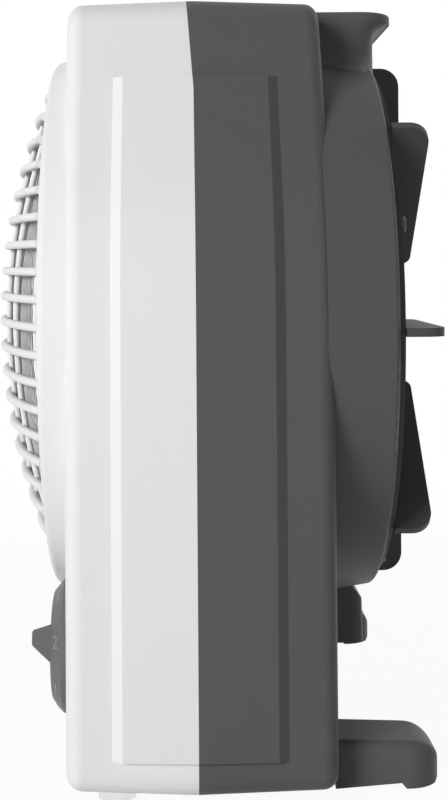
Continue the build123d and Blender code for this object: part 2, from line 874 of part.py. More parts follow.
def moved_out(corners, distance):
    """Corners of a closed loop whose sides have all moved outwards by a distance."""
    moved = []
    for index, corner in enumerate(corners):
        before = Vector(*corner) - Vector(*corners[index - 1])
        after = Vector(*corners[(index + 1) % len(corners)]) - Vector(*corner)
        normals = [Vector(side.Y, -side.X).normalized() for side in (before, after)]
        mitre = (normals[0] + normals[1]) * (distance / (1 + normals[0].dot(normals[1])))
        moved.append((corner[0] + mitre.X, corner[1] + mitre.Y))
    return moved


# Corrugated heating ribbons
for name, (low, high, folds) in (
    ("heating_element_inner", inner_ribbon),
    ("heating_element_outer", outer_ribbon),
):
    corners = []
    for step in range(4 * folds):
        middle = radians(360 / (4 * folds)) * step
        half = radians(180 / (4 * folds))
        for radius, angle in (
            (high, middle - asin(fold_flat / 2 / high)),
            (high, middle + asin(fold_flat / 2 / high)),
            (low, middle + half - asin(fold_flat / 2 / low)),
            (low, middle + half + asin(fold_flat / 2 / low)),
        ):
            reach = radius / cos(asin(fold_flat / 2 / radius))
            corners.append((reach * cos(angle), reach * sin(angle)))
    with BuildPart() as heating_element:
        with BuildSketch(across(fore(ribbon_rear))) as ribbon:
            for distance, mode in ((ribbon_thickness / 2, Mode.ADD), (-ribbon_thickness / 2, Mode.SUBTRACT)):
                with BuildLine():
                    Polyline(*moved_out(corners, distance), close=True)
                make_face(mode=mode)
        extrude(ribbon.sketch, amount=ribbon_height)
    save(heating_element, name)

# Thermal cutout and one-shot fuse on the level card
card_face = card_thickness / 2
cutout_depth = (card_front + card_rear) / 2
with BuildPart() as thermal_cutout:
    with BuildSketch(Plane.XY.offset(axle_height + card_face)) as case:
        with Locations((cutout_place, fore(cutout_depth))):
            Circle(cutout_radius)
    extrude(case.sketch, amount=cutout_height)
    chamfer(faces().sort_by(Axis.Z)[-1].edges(), length=0.8)
save(thermal_cutout, "thermal_cutout")

with BuildPart() as thermal_fuse:
    fuse_place = (-cutout_place, card_face + fuse_radius - 0.3)
    fuse_ends = (fore(cutout_depth + fuse_length / 2), fore(cutout_depth - fuse_length / 2))
    rod(fuse_radius, *fuse_ends, [fuse_place])
    card_ends = (fore(card_front), fore(card_rear))
    block(4 * fuse_radius, card_face, *card_ends, (-cutout_place, card_face / 2), mode=Mode.SUBTRACT)
save(thermal_fuse, "thermal_fuse")

# Fan shroud with a flared intake
with BuildPart() as fan_shroud:
    turned(
        (fore(duct_rear), shroud_inner),
        (fore(duct_rear), shroud_flange),
        (fore(duct_rear - shroud_flange_thickness), shroud_flange),
        (fore(duct_rear - shroud_flange_thickness), shroud_inner + shroud_flange_thickness),
        (aft(shroud_rear - 2 * shroud_flange_thickness), shroud_inner + shroud_flange_thickness),
        (aft(shroud_rear), shroud_inner + 3 * shroud_flange_thickness),
        (aft(shroud_rear), shroud_inner + 2 * shroud_flange_thickness),
        (aft(shroud_rear - 2 * shroud_flange_thickness), shroud_inner),
    )
    rod(small_screw + screw_gap, fore(duct_rear), fore(0), shroud_bosses, mode=Mode.SUBTRACT)
save(fan_shroud, "fan_shroud")


def blade_section(radius, chord, pitch):
    """Curved blade section at a distance along X from the axle."""
    middle = aft((fan_front + fan_rear) / 2)
    plane = Plane(
        origin=(radius, middle, axle_height),
        x_dir=(0, sin(radians(pitch)), cos(radians(pitch))),
        z_dir=(1, 0, 0),
    )
    with BuildSketch(plane) as section:
        with BuildLine():
            half, rise = chord / 2, blade_thickness / 2
            over = ThreePointArc((-half, rise), (0, rise + blade_camber), (half, rise))
            under = ThreePointArc((-half, -rise), (0, blade_camber - rise), (half, -rise))
            Line(over @ 0, under @ 0)
            Line(over @ 1, under @ 1)
        make_face()
    return section.sketch.face()


# Axial fan
with BuildPart() as fan_impeller:
    rod(fan_hub_radius, aft(fan_front), aft(fan_rear))
    with BuildPart(mode=Mode.PRIVATE) as blade:
        loft(
            [
                blade_section(fan_hub_radius - 3, blade_root_chord, blade_root_pitch),
                blade_section(fan_radius + 3, blade_tip_chord, blade_tip_pitch),
            ]
        )
        rod(fan_radius, aft(0), aft(2 * fan_rear), mode=Mode.INTERSECT)
    for step in range(blade_count):
        add(blade.part.rotate(axle, step * 360 / blade_count))
    rod(fan_hub_radius - 3, aft(fan_front + 3), aft(fan_rear), mode=Mode.SUBTRACT)
    rod(2 * shaft_radius, aft(fan_front), aft(fan_rear))
    rod(shaft_radius + push_gap, aft(0), aft(2 * fan_rear), mode=Mode.SUBTRACT)
save(fan_impeller, "fan_impeller")

with BuildPart() as fan_nut:
    rod(fan_nut_radius, aft(fan_front - fan_nut_height), aft(fan_front))
    chamfer(faces().sort_by(Axis.Y)[0].edges(), length=1)
    rod(shaft_radius + push_gap, fore(fan_front), aft(fan_front), mode=Mode.SUBTRACT)
save(fan_nut, "fan_nut")

# Shaded-pole motor
with BuildPart() as motor_stator:
    stator_height = stator_top + stator_base
    block(
        2 * stator_half_width,
        stator_height,
        aft(stator_front),
        aft(stator_rear),
        (0, stator_top - stator_height / 2),
        round=4,
    )
    window_height = stator_window_base - stator_window_top
    window_middle = -(stator_window_base + stator_window_top) / 2
    block(
        2 * stator_window,
        window_height,
        aft(stator_front),
        aft(stator_rear),
        (0, window_middle),
        mode=Mode.SUBTRACT,
    )
    rod(rotor_radius, aft(stator_front), aft(stator_rear), mode=Mode.SUBTRACT)
    rod(motor_screw_radius + screw_gap, aft(stator_front), aft(stator_rear), motor_feet, mode=Mode.SUBTRACT)
save(motor_stator, "motor_stator")

bar_half = (stator_base - stator_window_base) / 2
bar_middle = -(stator_base + stator_window_base) / 2
coil_half = stator_window - coil_gap


def coil_shell(inner, outer, x_low, x_high, mode=Mode.ADD):
    """Square tube along X round the stator's lower bar, at offsets from that bar."""
    stack = (stator_rear - stator_front) / 2
    middle = aft((stator_front + stator_rear) / 2)
    plane = Plane(origin=(x_low, middle, axle_height + bar_middle), x_dir=(0, 1, 0), z_dir=(1, 0, 0))
    with BuildSketch(plane) as tube:
        Rectangle(2 * (stack + outer), 2 * (bar_half + outer))
        Rectangle(2 * (stack + inner), 2 * (bar_half + inner), mode=Mode.SUBTRACT)
    extrude(tube.sketch, amount=x_high - x_low, mode=mode)


with BuildPart() as motor_bobbin:
    tube_outer = coil_gap + bobbin_wall
    coil_shell(coil_gap, tube_outer, -coil_half, coil_half)
    coil_shell(coil_gap, tube_outer + coil_build, -coil_half, bobbin_wall - coil_half)
    coil_shell(coil_gap, tube_outer + coil_build, coil_half - bobbin_wall, coil_half)
save(motor_bobbin, "motor_bobbin")

with BuildPart() as motor_winding:
    wound = coil_half - bobbin_wall
    coil_shell(tube_outer, tube_outer + coil_build - 1, -wound, wound)
    corners = edges().filter_by(Axis.X).group_by(lambda edge: hypot(
        edge.center().Y - aft((stator_front + stator_rear) / 2),
        edge.center().Z - axle_height - bar_middle,
    ))[-1]
    fillet(corners, radius=3)
save(motor_winding, "motor_winding")

with BuildPart() as motor_rotor:
    rod(rotor_radius - air_gap, aft(stator_front - rotor_overhang), aft(stator_rear + rotor_overhang))
    rod(shaft_radius + push_gap, aft(0), aft(2 * stator_rear), mode=Mode.SUBTRACT)
save(motor_rotor, "motor_rotor")

with BuildPart() as motor_shaft:
    rod(shaft_radius, fore(motor_shaft_front), aft(motor_shaft_rear))
    chamfer(edges().filter_by(GeomType.CIRCLE), length=0.5)
save(motor_shaft, "motor_shaft")


def motor_bracket(face, outward):
    """Bridge over one face of the stator that carries a bearing in a cup."""

    def stack(near, far):
        return sorted((aft(face + outward * near), aft(face + outward * far)))

    raised = bracket_sheet + bracket_rise
    for side in (1, -1):
        foot_middle = side * (stator_half_width - bracket_foot / 2)
        block(bracket_foot, 2 * bracket_half_height, *stack(0, bracket_sheet), (foot_middle, 0))
        leg = side * (stator_half_width - bracket_foot - bracket_sheet / 2)
        block(bracket_sheet, 2 * bracket_half_height, *stack(0, raised), (leg, 0))
    inner = stator_half_width - bracket_foot
    block(2 * inner, 2 * bracket_half_height, *stack(bracket_rise, raised))
    cup_start = bracket_rise - 1
    rod(bearing_cup, *stack(cup_start, cup_start + bearing_length))
    rod(bearing_radius + push_gap, *stack(0, 2 * raised), mode=Mode.SUBTRACT)
    rod(motor_screw_radius + screw_gap, *stack(0, raised), motor_feet, mode=Mode.SUBTRACT)


with BuildPart() as motor_front_bracket:
    motor_bracket(stator_front, -1)
save(motor_front_bracket, "motor_front_bracket")

with BuildPart() as motor_rear_bracket:
    motor_bracket(stator_rear, 1)
save(motor_rear_bracket, "motor_rear_bracket")

cup_start = bracket_rise - 1
for name, near in (
    ("front_bearing", stator_front - cup_start - bearing_length),
    ("rear_bearing", stator_rear + cup_start),
):
    with BuildPart() as bearing:
        rod(bearing_radius, aft(near), aft(near + bearing_length))
        chamfer(edges().filter_by(GeomType.CIRCLE), length=0.5)
        rod(shaft_radius + running_gap, aft(near - 1), aft(near + bearing_length + 1), mode=Mode.SUBTRACT)
    save(bearing, name)

# Strap that carries the motor across the drum
with BuildPart() as motor_strap:
    sheet = (aft(strap_front), aft(strap_front + strap_sheet))
    block(2 * strap_half_width, 2 * strap_half_height, *sheet, round=4)
    rod(strap_hole, *sheet, mode=Mode.SUBTRACT)
    rod(motor_screw_radius + screw_gap, *sheet, motor_feet, mode=Mode.SUBTRACT)
    rod(small_screw + screw_gap, *sheet, strap_bosses, mode=Mode.SUBTRACT)
save(motor_strap, "motor_strap")

with BuildPart() as motor_spacers:
    rod(2 * motor_screw_radius, aft(stator_rear + bracket_sheet), aft(strap_front), motor_feet)
    rod(motor_screw_radius + screw_gap, aft(stator_rear), aft(strap_front), motor_feet, mode=Mode.SUBTRACT)
save(motor_spacers, "motor_spacers")

strap_back = strap_front + strap_sheet
nut_front = stator_front - bracket_sheet - motor_nut_height
with BuildPart() as motor_screws:
    rod(motor_screw_radius, aft(nut_front - 1), aft(strap_back), motor_feet)
    rod(motor_screw_head, aft(strap_back), aft(strap_back + small_head_height), motor_feet)
save(motor_screws, "motor_screws")

with BuildPart() as motor_nuts:
    with BuildSketch(across(aft(stator_front - bracket_sheet))) as nuts:
        with Locations(*motor_feet):
            RegularPolygon(motor_nut_radius, 6)
            Circle(motor_screw_radius + push_gap, mode=Mode.SUBTRACT)
    extrude(nuts.sketch, amount=motor_nut_height)
save(motor_nuts, "motor_nuts")


def screws(name, places, seat, tip, shank, head, head_height, outward):
    """Screws along Y that share one node, with their heads on the outward side."""
    with BuildPart() as fasteners:
        rod(shank, *sorted((seat, tip)), places)
        rod(head, *sorted((seat, seat + outward * head_height)), places)
        top = faces().group_by(Axis.Y)[-1 if outward > 0 else 0]
        chamfer(top.edges(), length=head_height / 3)
    save(fasteners, name)


screws(
    "housing_screws",
    columns,
    aft(housing_screw_grip),
    fore(housing_screw_grip),
    housing_screw,
    housing_head,
    housing_head_height,
    1,
)
screws(
    "guard_screws",
    guard_bosses,
    aft(drum_reach + guard_thickness),
    guard_screw_end,
    small_screw,
    small_head,
    small_head_height,
    1,
)
screws(
    "shroud_screws",
    shroud_bosses,
    fore(duct_rear - shroud_flange_thickness),
    shroud_screw_end,
    small_screw,
    small_head,
    small_head_height,
    1,
)
screws(
    "strap_screws",
    strap_bosses,
    aft(strap_front),
    strap_screw_end,
    small_screw,
    small_head,
    small_head_height,
    -1,
)
screws(
    "terminal_screws",
    terminal_pads,
    aft(terminal_front),
    terminal_screw_end,
    small_screw,
    small_head,
    small_head_height,
    -1,
)

foot_screw_places = mirrored(((foot_tongue_inner + foot_tongue_outer) / 2, aft(foot_screw_depth)))
with BuildPart() as foot_screws:
    seat = axle_height - base_drop + draft_at(foot_screw_depth - small_head)
    for radius, low, high in (
        (small_screw, seat, axle_height - foot_tongue_top - 1),
        (small_head, seat - small_head_height, seat),
    ):
        with BuildSketch(Plane.XY.offset(low)) as ends:
            with Locations(*foot_screw_places):
                Circle(radius)
        extrude(ends.sketch, amount=high - low)
save(foot_screws, "foot_screws")

# Knobs and the controls behind them
for name, side in (("thermostat", 1), ("switch", -1)):
    x, z = side * knob_spacing, -knob_drop
    spin = Axis((x, 0, axle_height + z), (0, 1, 0))
    centre_plane = Plane(origin=(x, 0, axle_height + z), x_dir=(0, 1, 0), z_dir=(1, 0, 0))
    back = fore(knob_back)
    turn = -side * knob_rest_turn
    with BuildPart() as knob:
        with BuildSketch(centre_plane) as skirt:
            with BuildLine():
                FilletPolyline(
                    (back, 0),
                    (back, knob_radius),
                    (fore(knob_edge), knob_radius),
                    (fore(knob_face - knob_crown), knob_face_radius),
                    (fore(knob_face), 0),
                    radius=[0, 0, 1, 1.5, 0],
                    close=True,
                )
            make_face()
        revolve(skirt.sketch, axis=spin)
        with BuildSketch(centre_plane.offset(-knob_grip_length / 2)) as grip:
            with BuildLine():
                FilletPolyline(
                    (fore(knob_face - 2), knob_grip_base / 2),
                    (fore(knob_face - knob_crown), knob_grip_base / 2),
                    (fore(knob_tip), knob_grip_shift + knob_grip_top / 2),
                    (fore(knob_tip), knob_grip_shift - knob_grip_top / 2),
                    (fore(knob_face - knob_crown), -knob_grip_base / 2),
                    (fore(knob_face - 2), -knob_grip_base / 2),
                    radius=[0, 0, 1.2, 1.2, 0, 0],
                    close=True,
                )
            make_face()
        with BuildPart(mode=Mode.PRIVATE) as grip_bar:
            extrude(grip.sketch, amount=knob_grip_length)
            rod(knob_grip_length / 2, fore(2 * knob_tip), fore(0), [(x, z)], mode=Mode.INTERSECT)
        add(grip_bar.part)
        rod(knob_face_radius - knob_wall, fore(knob_bore_depth), back, [(x, z)], mode=Mode.SUBTRACT)
        with BuildSketch(across(fore(knob_bore_depth - 1))) as bore:
            with Locations((x, z)):
                Circle(shaft_radius + push_gap)
                with Locations((0, shaft_radius - shaft_flat + push_gap + shaft_radius)):
                    Rectangle(4 * shaft_radius, 2 * shaft_radius, mode=Mode.SUBTRACT)
        extrude(bore.sketch, amount=knob_shaft_tip - knob_bore_depth + 1 + push_gap, mode=Mode.SUBTRACT)
    knob.part = knob.part.rotate(spin, turn)
    save(knob, f"{name}_knob")

    body_rear = control_seat - control_depth
    with BuildPart() as shaft:
        rod(shaft_radius, fore(knob_shaft_tip), fore(body_rear + wall), [(x, z)])
        block(
            4 * shaft_radius,
            2 * shaft_radius,
            fore(knob_tip),
            fore(control_bush_tip),
            (x, z + 2 * shaft_radius - shaft_flat),
            mode=Mode.SUBTRACT,
        )
    shaft.part = shaft.part.rotate(spin, turn)
    save(shaft, f"{name}_shaft")

    with BuildPart() as body:
        if name == "switch":
            block(control_width, control_width, fore(control_seat), fore(body_rear), (x, z), round=1)
            tab_places = [(x + dx, z + dz) for dx in (-9, 9) for dz in (-8, 8)]
        else:
            block(control_width, control_width, fore(control_seat), fore(body_rear + 7), (x, z), round=1)
            rod(thermostat_disc, fore(control_seat), fore(body_rear), [(x, z)])
            tab_places = [(x - 9, z - 8), (x - 9, z + 8)]
        rod(control_bush, fore(control_bush_tip), fore(control_seat), [(x, z)])
        tab_base = body_rear if name == "switch" else body_rear + 7
        for place in tab_places:
            block(tab_thickness, tab_width, fore(tab_base - tab_length), fore(tab_base), place)
        rod(shaft_radius + running_gap, fore(knob_tip), fore(body_rear + wall), [(x, z)], mode=Mode.SUBTRACT)
    save(body, f"{name}_body")

with BuildPart() as control_nuts:
    with BuildSketch(across(fore(knob_seat))) as nuts:
        with Locations(*controls):
            RegularPolygon(control_nut_width / 2, 6, major_radius=False)
            Circle(control_bush + push_gap, mode=Mode.SUBTRACT)
    extrude(nuts.sketch, amount=control_nut_height)
save(control_nuts, "control_nuts")

# Pilot light
pilot = [(0, -pilot_drop)]
with BuildPart() as pilot_lens:
    flange_front = fore(front_reach - wall - running_gap)
    flange_back = flange_front + pilot_flange
    rod(pilot_radius, fore(pilot_reach), flange_back, pilot)
    fillet(faces().sort_by(Axis.Y)[0].edges(), radius=1.5)
    rod(pilot_radius + pilot_flange, flange_front, flange_back, pilot)
    rod(pilot_lamp_radius + push_gap, fore(front_reach), fore(0), pilot, mode=Mode.SUBTRACT)
save(pilot_lens, "pilot_lens")

with BuildPart() as pilot_lamp:
    rod(pilot_lamp_radius, fore(front_reach), fore(front_reach - pilot_lamp_length), pilot)
save(pilot_lamp, "pilot_lamp")

# Terminal block
with BuildPart() as terminal_block:
    block(
        terminal_width,
        terminal_height,
        aft(terminal_front),
        aft(terminal_rear),
        terminal_place,
        round=1,
    )
    rod(small_screw + screw_gap, aft(terminal_front), aft(terminal_rear), terminal_pads, mode=Mode.SUBTRACT)
save(terminal_block, "terminal_block")

# Cord gland in the mouth of the hood
with BuildPart() as cord_gland:
    with BuildSketch(Plane.XY.offset(axle_height - hood_base)) as barrel:
        with Locations((0, aft(gland_depth))):
            Circle(gland_radius)
    extrude(barrel.sketch, amount=gland_length)
    with BuildSketch(Plane.XY.offset(axle_height - hood_base + gland_floor)) as flange:
        with Locations((0, aft(gland_depth))):
            Circle(gland_flange)
    extrude(flange.sketch, amount=gland_flange_thickness)
    with BuildSketch(Plane.XY.offset(axle_height - hood_base)) as cord_bore:
        with Locations((0, aft(gland_depth))):
            Circle(cord_radius)
    extrude(cord_bore.sketch, amount=gland_length, mode=Mode.SUBTRACT)
save(cord_gland, "cord_gland")


def lead(*stops):
    """Round wire through stops given as (x, height from the axle, y)."""
    points = [(x, y, axle_height + z) for x, z, y in stops]
    with BuildLine(mode=Mode.PRIVATE) as route:
        FilletPolyline(*points, radius=lead_bend)
    path = route.wires()[0]
    with BuildSketch(Plane(origin=path @ 0, z_dir=path % 0)) as end:
        Circle(lead_radius)
    sweep(end.sketch, path=path)


# Internal leads
block_front, block_top = aft(terminal_front), terminal_place[1] + terminal_height / 2
switch_rear = fore(control_seat - control_depth - tab_length)
thermostat_rear = fore(control_seat - control_depth + 7 - tab_length)
low_tab = -knob_drop - 8
with BuildPart() as supply_leads:
    lead(
        (terminal_place[0] - 5, terminal_place[1], block_front),
        (terminal_place[0] - 5, terminal_place[1], aft(8)),
        (9 - knob_spacing, low_tab, fore(2)),
        (9 - knob_spacing, low_tab, switch_rear),
    )
    lead(
        (terminal_place[0] + 5, terminal_place[1], block_front),
        (terminal_place[0] + 5, terminal_place[1], aft(12)),
        (knob_spacing - 9, low_tab, fore(0)),
        (knob_spacing - 9, low_tab, thermostat_rear),
    )
save(supply_leads, "supply_leads")

heater_depth = fore((ribbon_front + ribbon_rear) / 2)
control_top = control_width / 2 - knob_drop
with BuildPart() as heater_leads:
    for side in (1, -1):
        knee = 100.0
        lead(
            (side * knee / 2, control_top, heater_depth),
            (side * knee / 2, -knee * cos(radians(30)), heater_depth),
            (
                side * (outer_ribbon[1] + ribbon_thickness / 2) / 2,
                -(outer_ribbon[1] + ribbon_thickness / 2) * cos(radians(30)),
                heater_depth,
            ),
        )
save(heater_leads, "heater_leads")

with BuildPart() as motor_leads:
    winding_base = bar_middle - bar_half - tube_outer - coil_build + 1
    lead_depth = aft((terminal_front + terminal_rear) / 2 + 3)
    for start, finish in ((-5, -8), (5, 8)):
        lead(
            (terminal_place[0] + start, block_top, lead_depth),
            (terminal_place[0] + start, block_top + 14, lead_depth),
            (finish, winding_base - 14, lead_depth),
            (finish, winding_base, lead_depth),
        )
save(motor_leads, "motor_leads")

with BuildPart() as lamp_lead:
    lamp_rear = fore(front_reach - pilot_lamp_length)
    lead(
        (0, -pilot_drop, lamp_rear),
        (0, -pilot_drop, lamp_rear + 12),
        (control_width / 2 - knob_spacing + 14, -pilot_drop, lamp_rear + 12),
        (control_width / 2 - knob_spacing + 8, -pilot_drop, lamp_rear),
        (control_width / 2 - knob_spacing, -pilot_drop, lamp_rear),
    )
save(lamp_lead, "lamp_lead")
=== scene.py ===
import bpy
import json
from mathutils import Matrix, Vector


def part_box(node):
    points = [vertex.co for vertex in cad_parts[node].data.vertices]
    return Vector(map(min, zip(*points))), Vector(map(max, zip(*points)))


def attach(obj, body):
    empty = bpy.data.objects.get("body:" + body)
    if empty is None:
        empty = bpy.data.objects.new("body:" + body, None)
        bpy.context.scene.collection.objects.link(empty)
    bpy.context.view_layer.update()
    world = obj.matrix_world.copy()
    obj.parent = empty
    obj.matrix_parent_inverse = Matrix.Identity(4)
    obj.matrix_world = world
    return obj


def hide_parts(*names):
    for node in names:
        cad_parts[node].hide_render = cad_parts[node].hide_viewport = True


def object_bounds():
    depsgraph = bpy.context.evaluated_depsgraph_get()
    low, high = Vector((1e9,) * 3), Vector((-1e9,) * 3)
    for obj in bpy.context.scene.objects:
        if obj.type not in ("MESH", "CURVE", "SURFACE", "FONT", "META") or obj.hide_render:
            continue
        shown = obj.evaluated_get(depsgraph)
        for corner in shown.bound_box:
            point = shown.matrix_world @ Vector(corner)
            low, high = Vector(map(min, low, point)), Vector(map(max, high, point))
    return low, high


bl_info = {
    "name": "Fan heater looks",
    "version": (1, 0, 0),
    "blender": (4, 5, 0),
    "location": "3D View > Sidebar > Fan heater",
    "description": "Finishes, fine detail and the studio for an upright fan heater",
    "category": "Object",
}

import json
import math

import bpy
from bpy.props import FloatProperty, FloatVectorProperty, IntProperty, PointerProperty
from mathutils import Matrix, Vector

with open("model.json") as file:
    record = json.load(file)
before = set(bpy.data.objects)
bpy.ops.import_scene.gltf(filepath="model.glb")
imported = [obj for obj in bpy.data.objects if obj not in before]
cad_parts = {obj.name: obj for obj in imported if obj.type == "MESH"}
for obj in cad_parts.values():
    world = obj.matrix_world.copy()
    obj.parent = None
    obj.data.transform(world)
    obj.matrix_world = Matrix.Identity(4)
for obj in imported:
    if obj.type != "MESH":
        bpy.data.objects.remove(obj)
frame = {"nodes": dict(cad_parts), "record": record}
cad_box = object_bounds()
CASE = "heater_case"

ACROSS, BACK, UP = (1, 0, 0), (0, 1, 0), (0, 0, 1)
WHITE = (1, 1, 1, 1)
# Sides of a section and steps along an arc
BAR_SIDES, BAR_STEPS = 12, 28
WIRE_SIDES, WIRE_STEPS = 6, 18
RING_STEPS = 120
# Rows, side steps and bend steps of the neck
NECK_ROWS, NECK_SIDE_STEPS, NECK_BEND_STEPS = 26, 8, 10
# How far a bar's section goes from round, 0, to square, 1
SQUARENESS = 0.35
# Points closer than this are one point
MERGE = 0.00001
# Height of a digit as a share of its text size
DIGIT_SHARE = 0.7
# Size of the photograph in pixels, and the pixel that the camera looks at straight on
PHOTO_SIZE = (448, 800)
PHOTO_CENTRE = (178.4, 260.0)
SENSOR_WIDTH = 36


# Settings


def length(name, description, default):
    """Setting for a size or a place in metres."""
    return FloatProperty(name=name, description=description, unit="LENGTH", default=default)


def angle(name, description, default):
    """Setting for an angle, given in degrees."""
    return FloatProperty(name=name, description=description, subtype="ANGLE", default=math.radians(default))


def colour(name, description, default):
    """Setting for a colour, as linear values."""
    return FloatVectorProperty(name=name, description=description, subtype="COLOR", size=3, default=default)


def place(name, description, default):
    """Setting for a point in space."""
    return FloatVectorProperty(name=name, description=description, unit="LENGTH", size=3, default=default)


class FinishSettings(bpy.types.PropertyGroup):
    """Colours of the moulded parts."""

    white: colour("White shell", "Colour of the front shell and the grille", (0.86, 0.86, 0.855))
    dark: colour("Dark shell", "Colour of the rear shell and the rear feet", (0.106, 0.106, 0.108))
    guard: colour("Intake guard", "Colour of the intake guard", (0.078, 0.078, 0.080))
    knob: colour("Knobs", "Colour of the two knobs", (0.15, 0.15, 0.151))
    mark: colour("Marks", "Colour of the marks printed on knobs and shell", (0.27, 0.27, 0.27))


class GrilleSettings(bpy.types.PropertyGroup):
    """Sizes of the domed grille and the fine mesh behind it."""

    dome_radius: length("Dome radius", "Radius of the dome from top to bottom", 0.205)
    plan_radius: length("Plan radius", "Radius of the dome from side to side", 0.187)
    level_count: IntProperty(name="Level bars", description="Number of level bars", default=19)
    level_pitch: length("Level pitch", "Spacing of the level bars", 0.00908)
    level_lift: length("Level lift", "Height of the middle bar above the axle", 0.0016)
    level_height: length("Level bar height", "Height of a level bar", 0.0029)
    level_depth: length("Level bar depth", "Depth of a level bar", 0.0034)
    upright_count: IntProperty(name="Upright bars", description="Number of upright bars", default=7)
    upright_pitch: length("Upright pitch", "Spacing of the upright bars", 0.0258)
    upright_width: length("Upright bar width", "Width of an upright bar", 0.0024)
    upright_depth: length("Upright bar depth", "Depth of an upright bar", 0.0022)
    upright_sink: length("Upright sink", "How far the upright bars stand behind the level ones", 0.0024)
    ring_middle: length("Ring radius", "Radius of the middle of the ring", 0.0862)
    ring_dome: length("Ring dome radius", "Radius that the front of the ring follows", 0.198)
    ring_sink: length("Ring sink", "How far the ring lies behind its dome", 0.0020)
    ring_edge: length("Ring edge", "Size of the ring's rounded edges", 0.0007)
    mesh_sink: length("Mesh sink", "How far the fine mesh lies behind the bars' front", 0.0050)
    mesh_inset: length("Mesh inset", "How far the mesh ends inside the middle of the ring", 0.001)
    wire: length("Wire", "Thickness of a mesh wire", 0.0004)
    wire_pitch: length("Wire pitch", "Spacing of the upright wires", 0.0020)


class NeckSettings(bpy.types.PropertyGroup):
    """Sizes of the skin that carries the lip down onto the drum, with heights above the axle."""

    half_width: length("Half width", "Half the width of the neck under the lip", 0.0357)
    front: length("Front", "Where the neck starts, inside the back", 0.036)
    rear: length("Rear", "Where the back of the neck stands", 0.0612)
    corner: length("Corner", "Radius of its rear corners", 0.008)
    wall: length("Wall", "Thickness of the skin", 0.001)
    under_lip: length("Under the lip", "Height of the lip's underside", 0.1086)
    lip_lap: length("Lap into the lip", "How far the skin runs up into the lip", 0.0006)
    cove: length("Cove", "Radius of the cove under the lip", 0.006)
    blend: length("Blend", "Radius of the blend onto the drum", 0.016)
    drum_lap: length("Lap into the drum", "How far the skin runs down into the drum", 0.002)
    drum_front: length("Drum front", "Where the drum meets the back of the body", 0.03995)
    drum_front_radius: length("Drum front radius", "Radius of the drum there", 0.1023)
    drum_rear: length("Drum rear", "Where the drum ends", 0.06075)
    drum_rear_radius: length("Drum rear radius", "Radius of the drum there", 0.0986)


class DialSettings(bpy.types.PropertyGroup):
    """Numbers on the knobs and the index bars on the shell."""

    cone_radius: length("Number circle", "Radius of the circle the numbers stand on", 0.02)
    cone_depth: length("Number depth", "Distance of that circle in front of the knob's back", 0.00385)
    cone_fall: length("Cone fall", "Fall of the cone across its width", 0.0037)
    cone_draw: length("Cone draw", "How far the cone draws in across its width", 0.0044)
    number_height: length("Number height", "Height of a number", 0.0045)
    print_lift: length("Print lift", "Height of the middle of the print above the cone", 0.00003)
    print_depth: length("Print depth", "Half the thickness of the print", 0.00004)
    zero: angle("Zero", "Where the thermostat's 0 stands, turned up from the right", 286.4)
    thermostat_step: angle("Thermostat step", "Angle between thermostat numbers", 45)
    thermostat_count: IntProperty(name="Thermostat numbers", description="Numbers on that knob", default=7)
    switch_step: angle("Switch step", "Angle between switch numbers", 60)
    switch_count: IntProperty(name="Switch numbers", description="Numbers on that knob", default=4)
    index_radius: length("Index radius", "Distance of an index bar from the knob's centre", 0.0247)
    index_length: length("Index length", "Length of an index bar", 0.0030)
    index_width: length("Index width", "Width of an index bar", 0.0009)
    index_depth: length("Index depth", "Thickness of an index bar", 0.00012)
    index_edge: length("Index edge", "Size of its rounded edges", 0.00003)


class StudioSettings(bpy.types.PropertyGroup):
    """Camera, lamps, sky and floor."""

    distance: length("Camera distance", "Distance of the camera from the middle plane", 0.527)
    depth: length("Camera depth", "Place of the camera along the front-to-back axis", -0.00885)
    height: length("Camera height", "Height of the camera above the ground", 0.1678)
    lens: FloatProperty(name="Lens", description="Focal length in millimetres", default=61.65)
    roll: FloatProperty(
        name="Roll", description="Turn of the camera about its own axis", subtype="ANGLE", default=-0.0065
    )
    aim: place("Lamp aim", "Point that both lamps face", (0, 0, 0.14))
    key_place: place("Key lamp place", "Place of the large lamp in front of the heater", (1.59, -1.36, 0.83))
    key_size: length("Key lamp size", "Width of the large lamp", 1.0)
    key_power: FloatProperty(name="Key lamp power", description="Its power in watts", default=36.5)
    fill_place: place("Fill lamp place", "Place of the soft lamp behind the far side", (-1.45, 1.5, 0.9))
    fill_size: length("Fill lamp size", "Width of the soft lamp", 1.4)
    fill_power: FloatProperty(name="Fill lamp power", description="Its power in watts", default=34.0)
    sky_level: FloatProperty(name="Sky level", description="Strength of the sky low down", default=0.34)
    sky_top: FloatProperty(name="Sky top", description="Strength high up, as a share of that", default=0.1)
    sky_low: FloatProperty(name="Fade start", description="Slope at which the fade starts", default=-0.2)
    sky_high: FloatProperty(name="Fade end", description="Slope at which the fade ends", default=0.7)
    floor_size: length("Floor size", "Width of the floor", 12)
    floor_drop: length("Floor drop", "Gap between the floor and the feet", 0.0005)
    floor_grey: FloatProperty(name="Floor paint", description="Lightness of the floor's paint", default=0.82)
    glow_share: FloatProperty(name="Glow", description="Share of plain white near the heater", default=0.94)
    glow_near: length("Glow start", "Distance at which plain white starts to take over", 0.15)
    glow_far: length("Glow end", "Distance past which the floor is plain white", 0.6)


# Shader building blocks


def new_node(tree, kind, **inputs):
    """Add a shader node and set its plain inputs by name."""
    node = tree.nodes.new(kind)
    for name, value in inputs.items():
        node.inputs[name.replace("_", " ")].default_value = value
    return node


def new_math(tree, operation, kind="ShaderNodeMath"):
    """Add a math node."""
    node = tree.nodes.new(kind)
    node.operation = operation
    return node


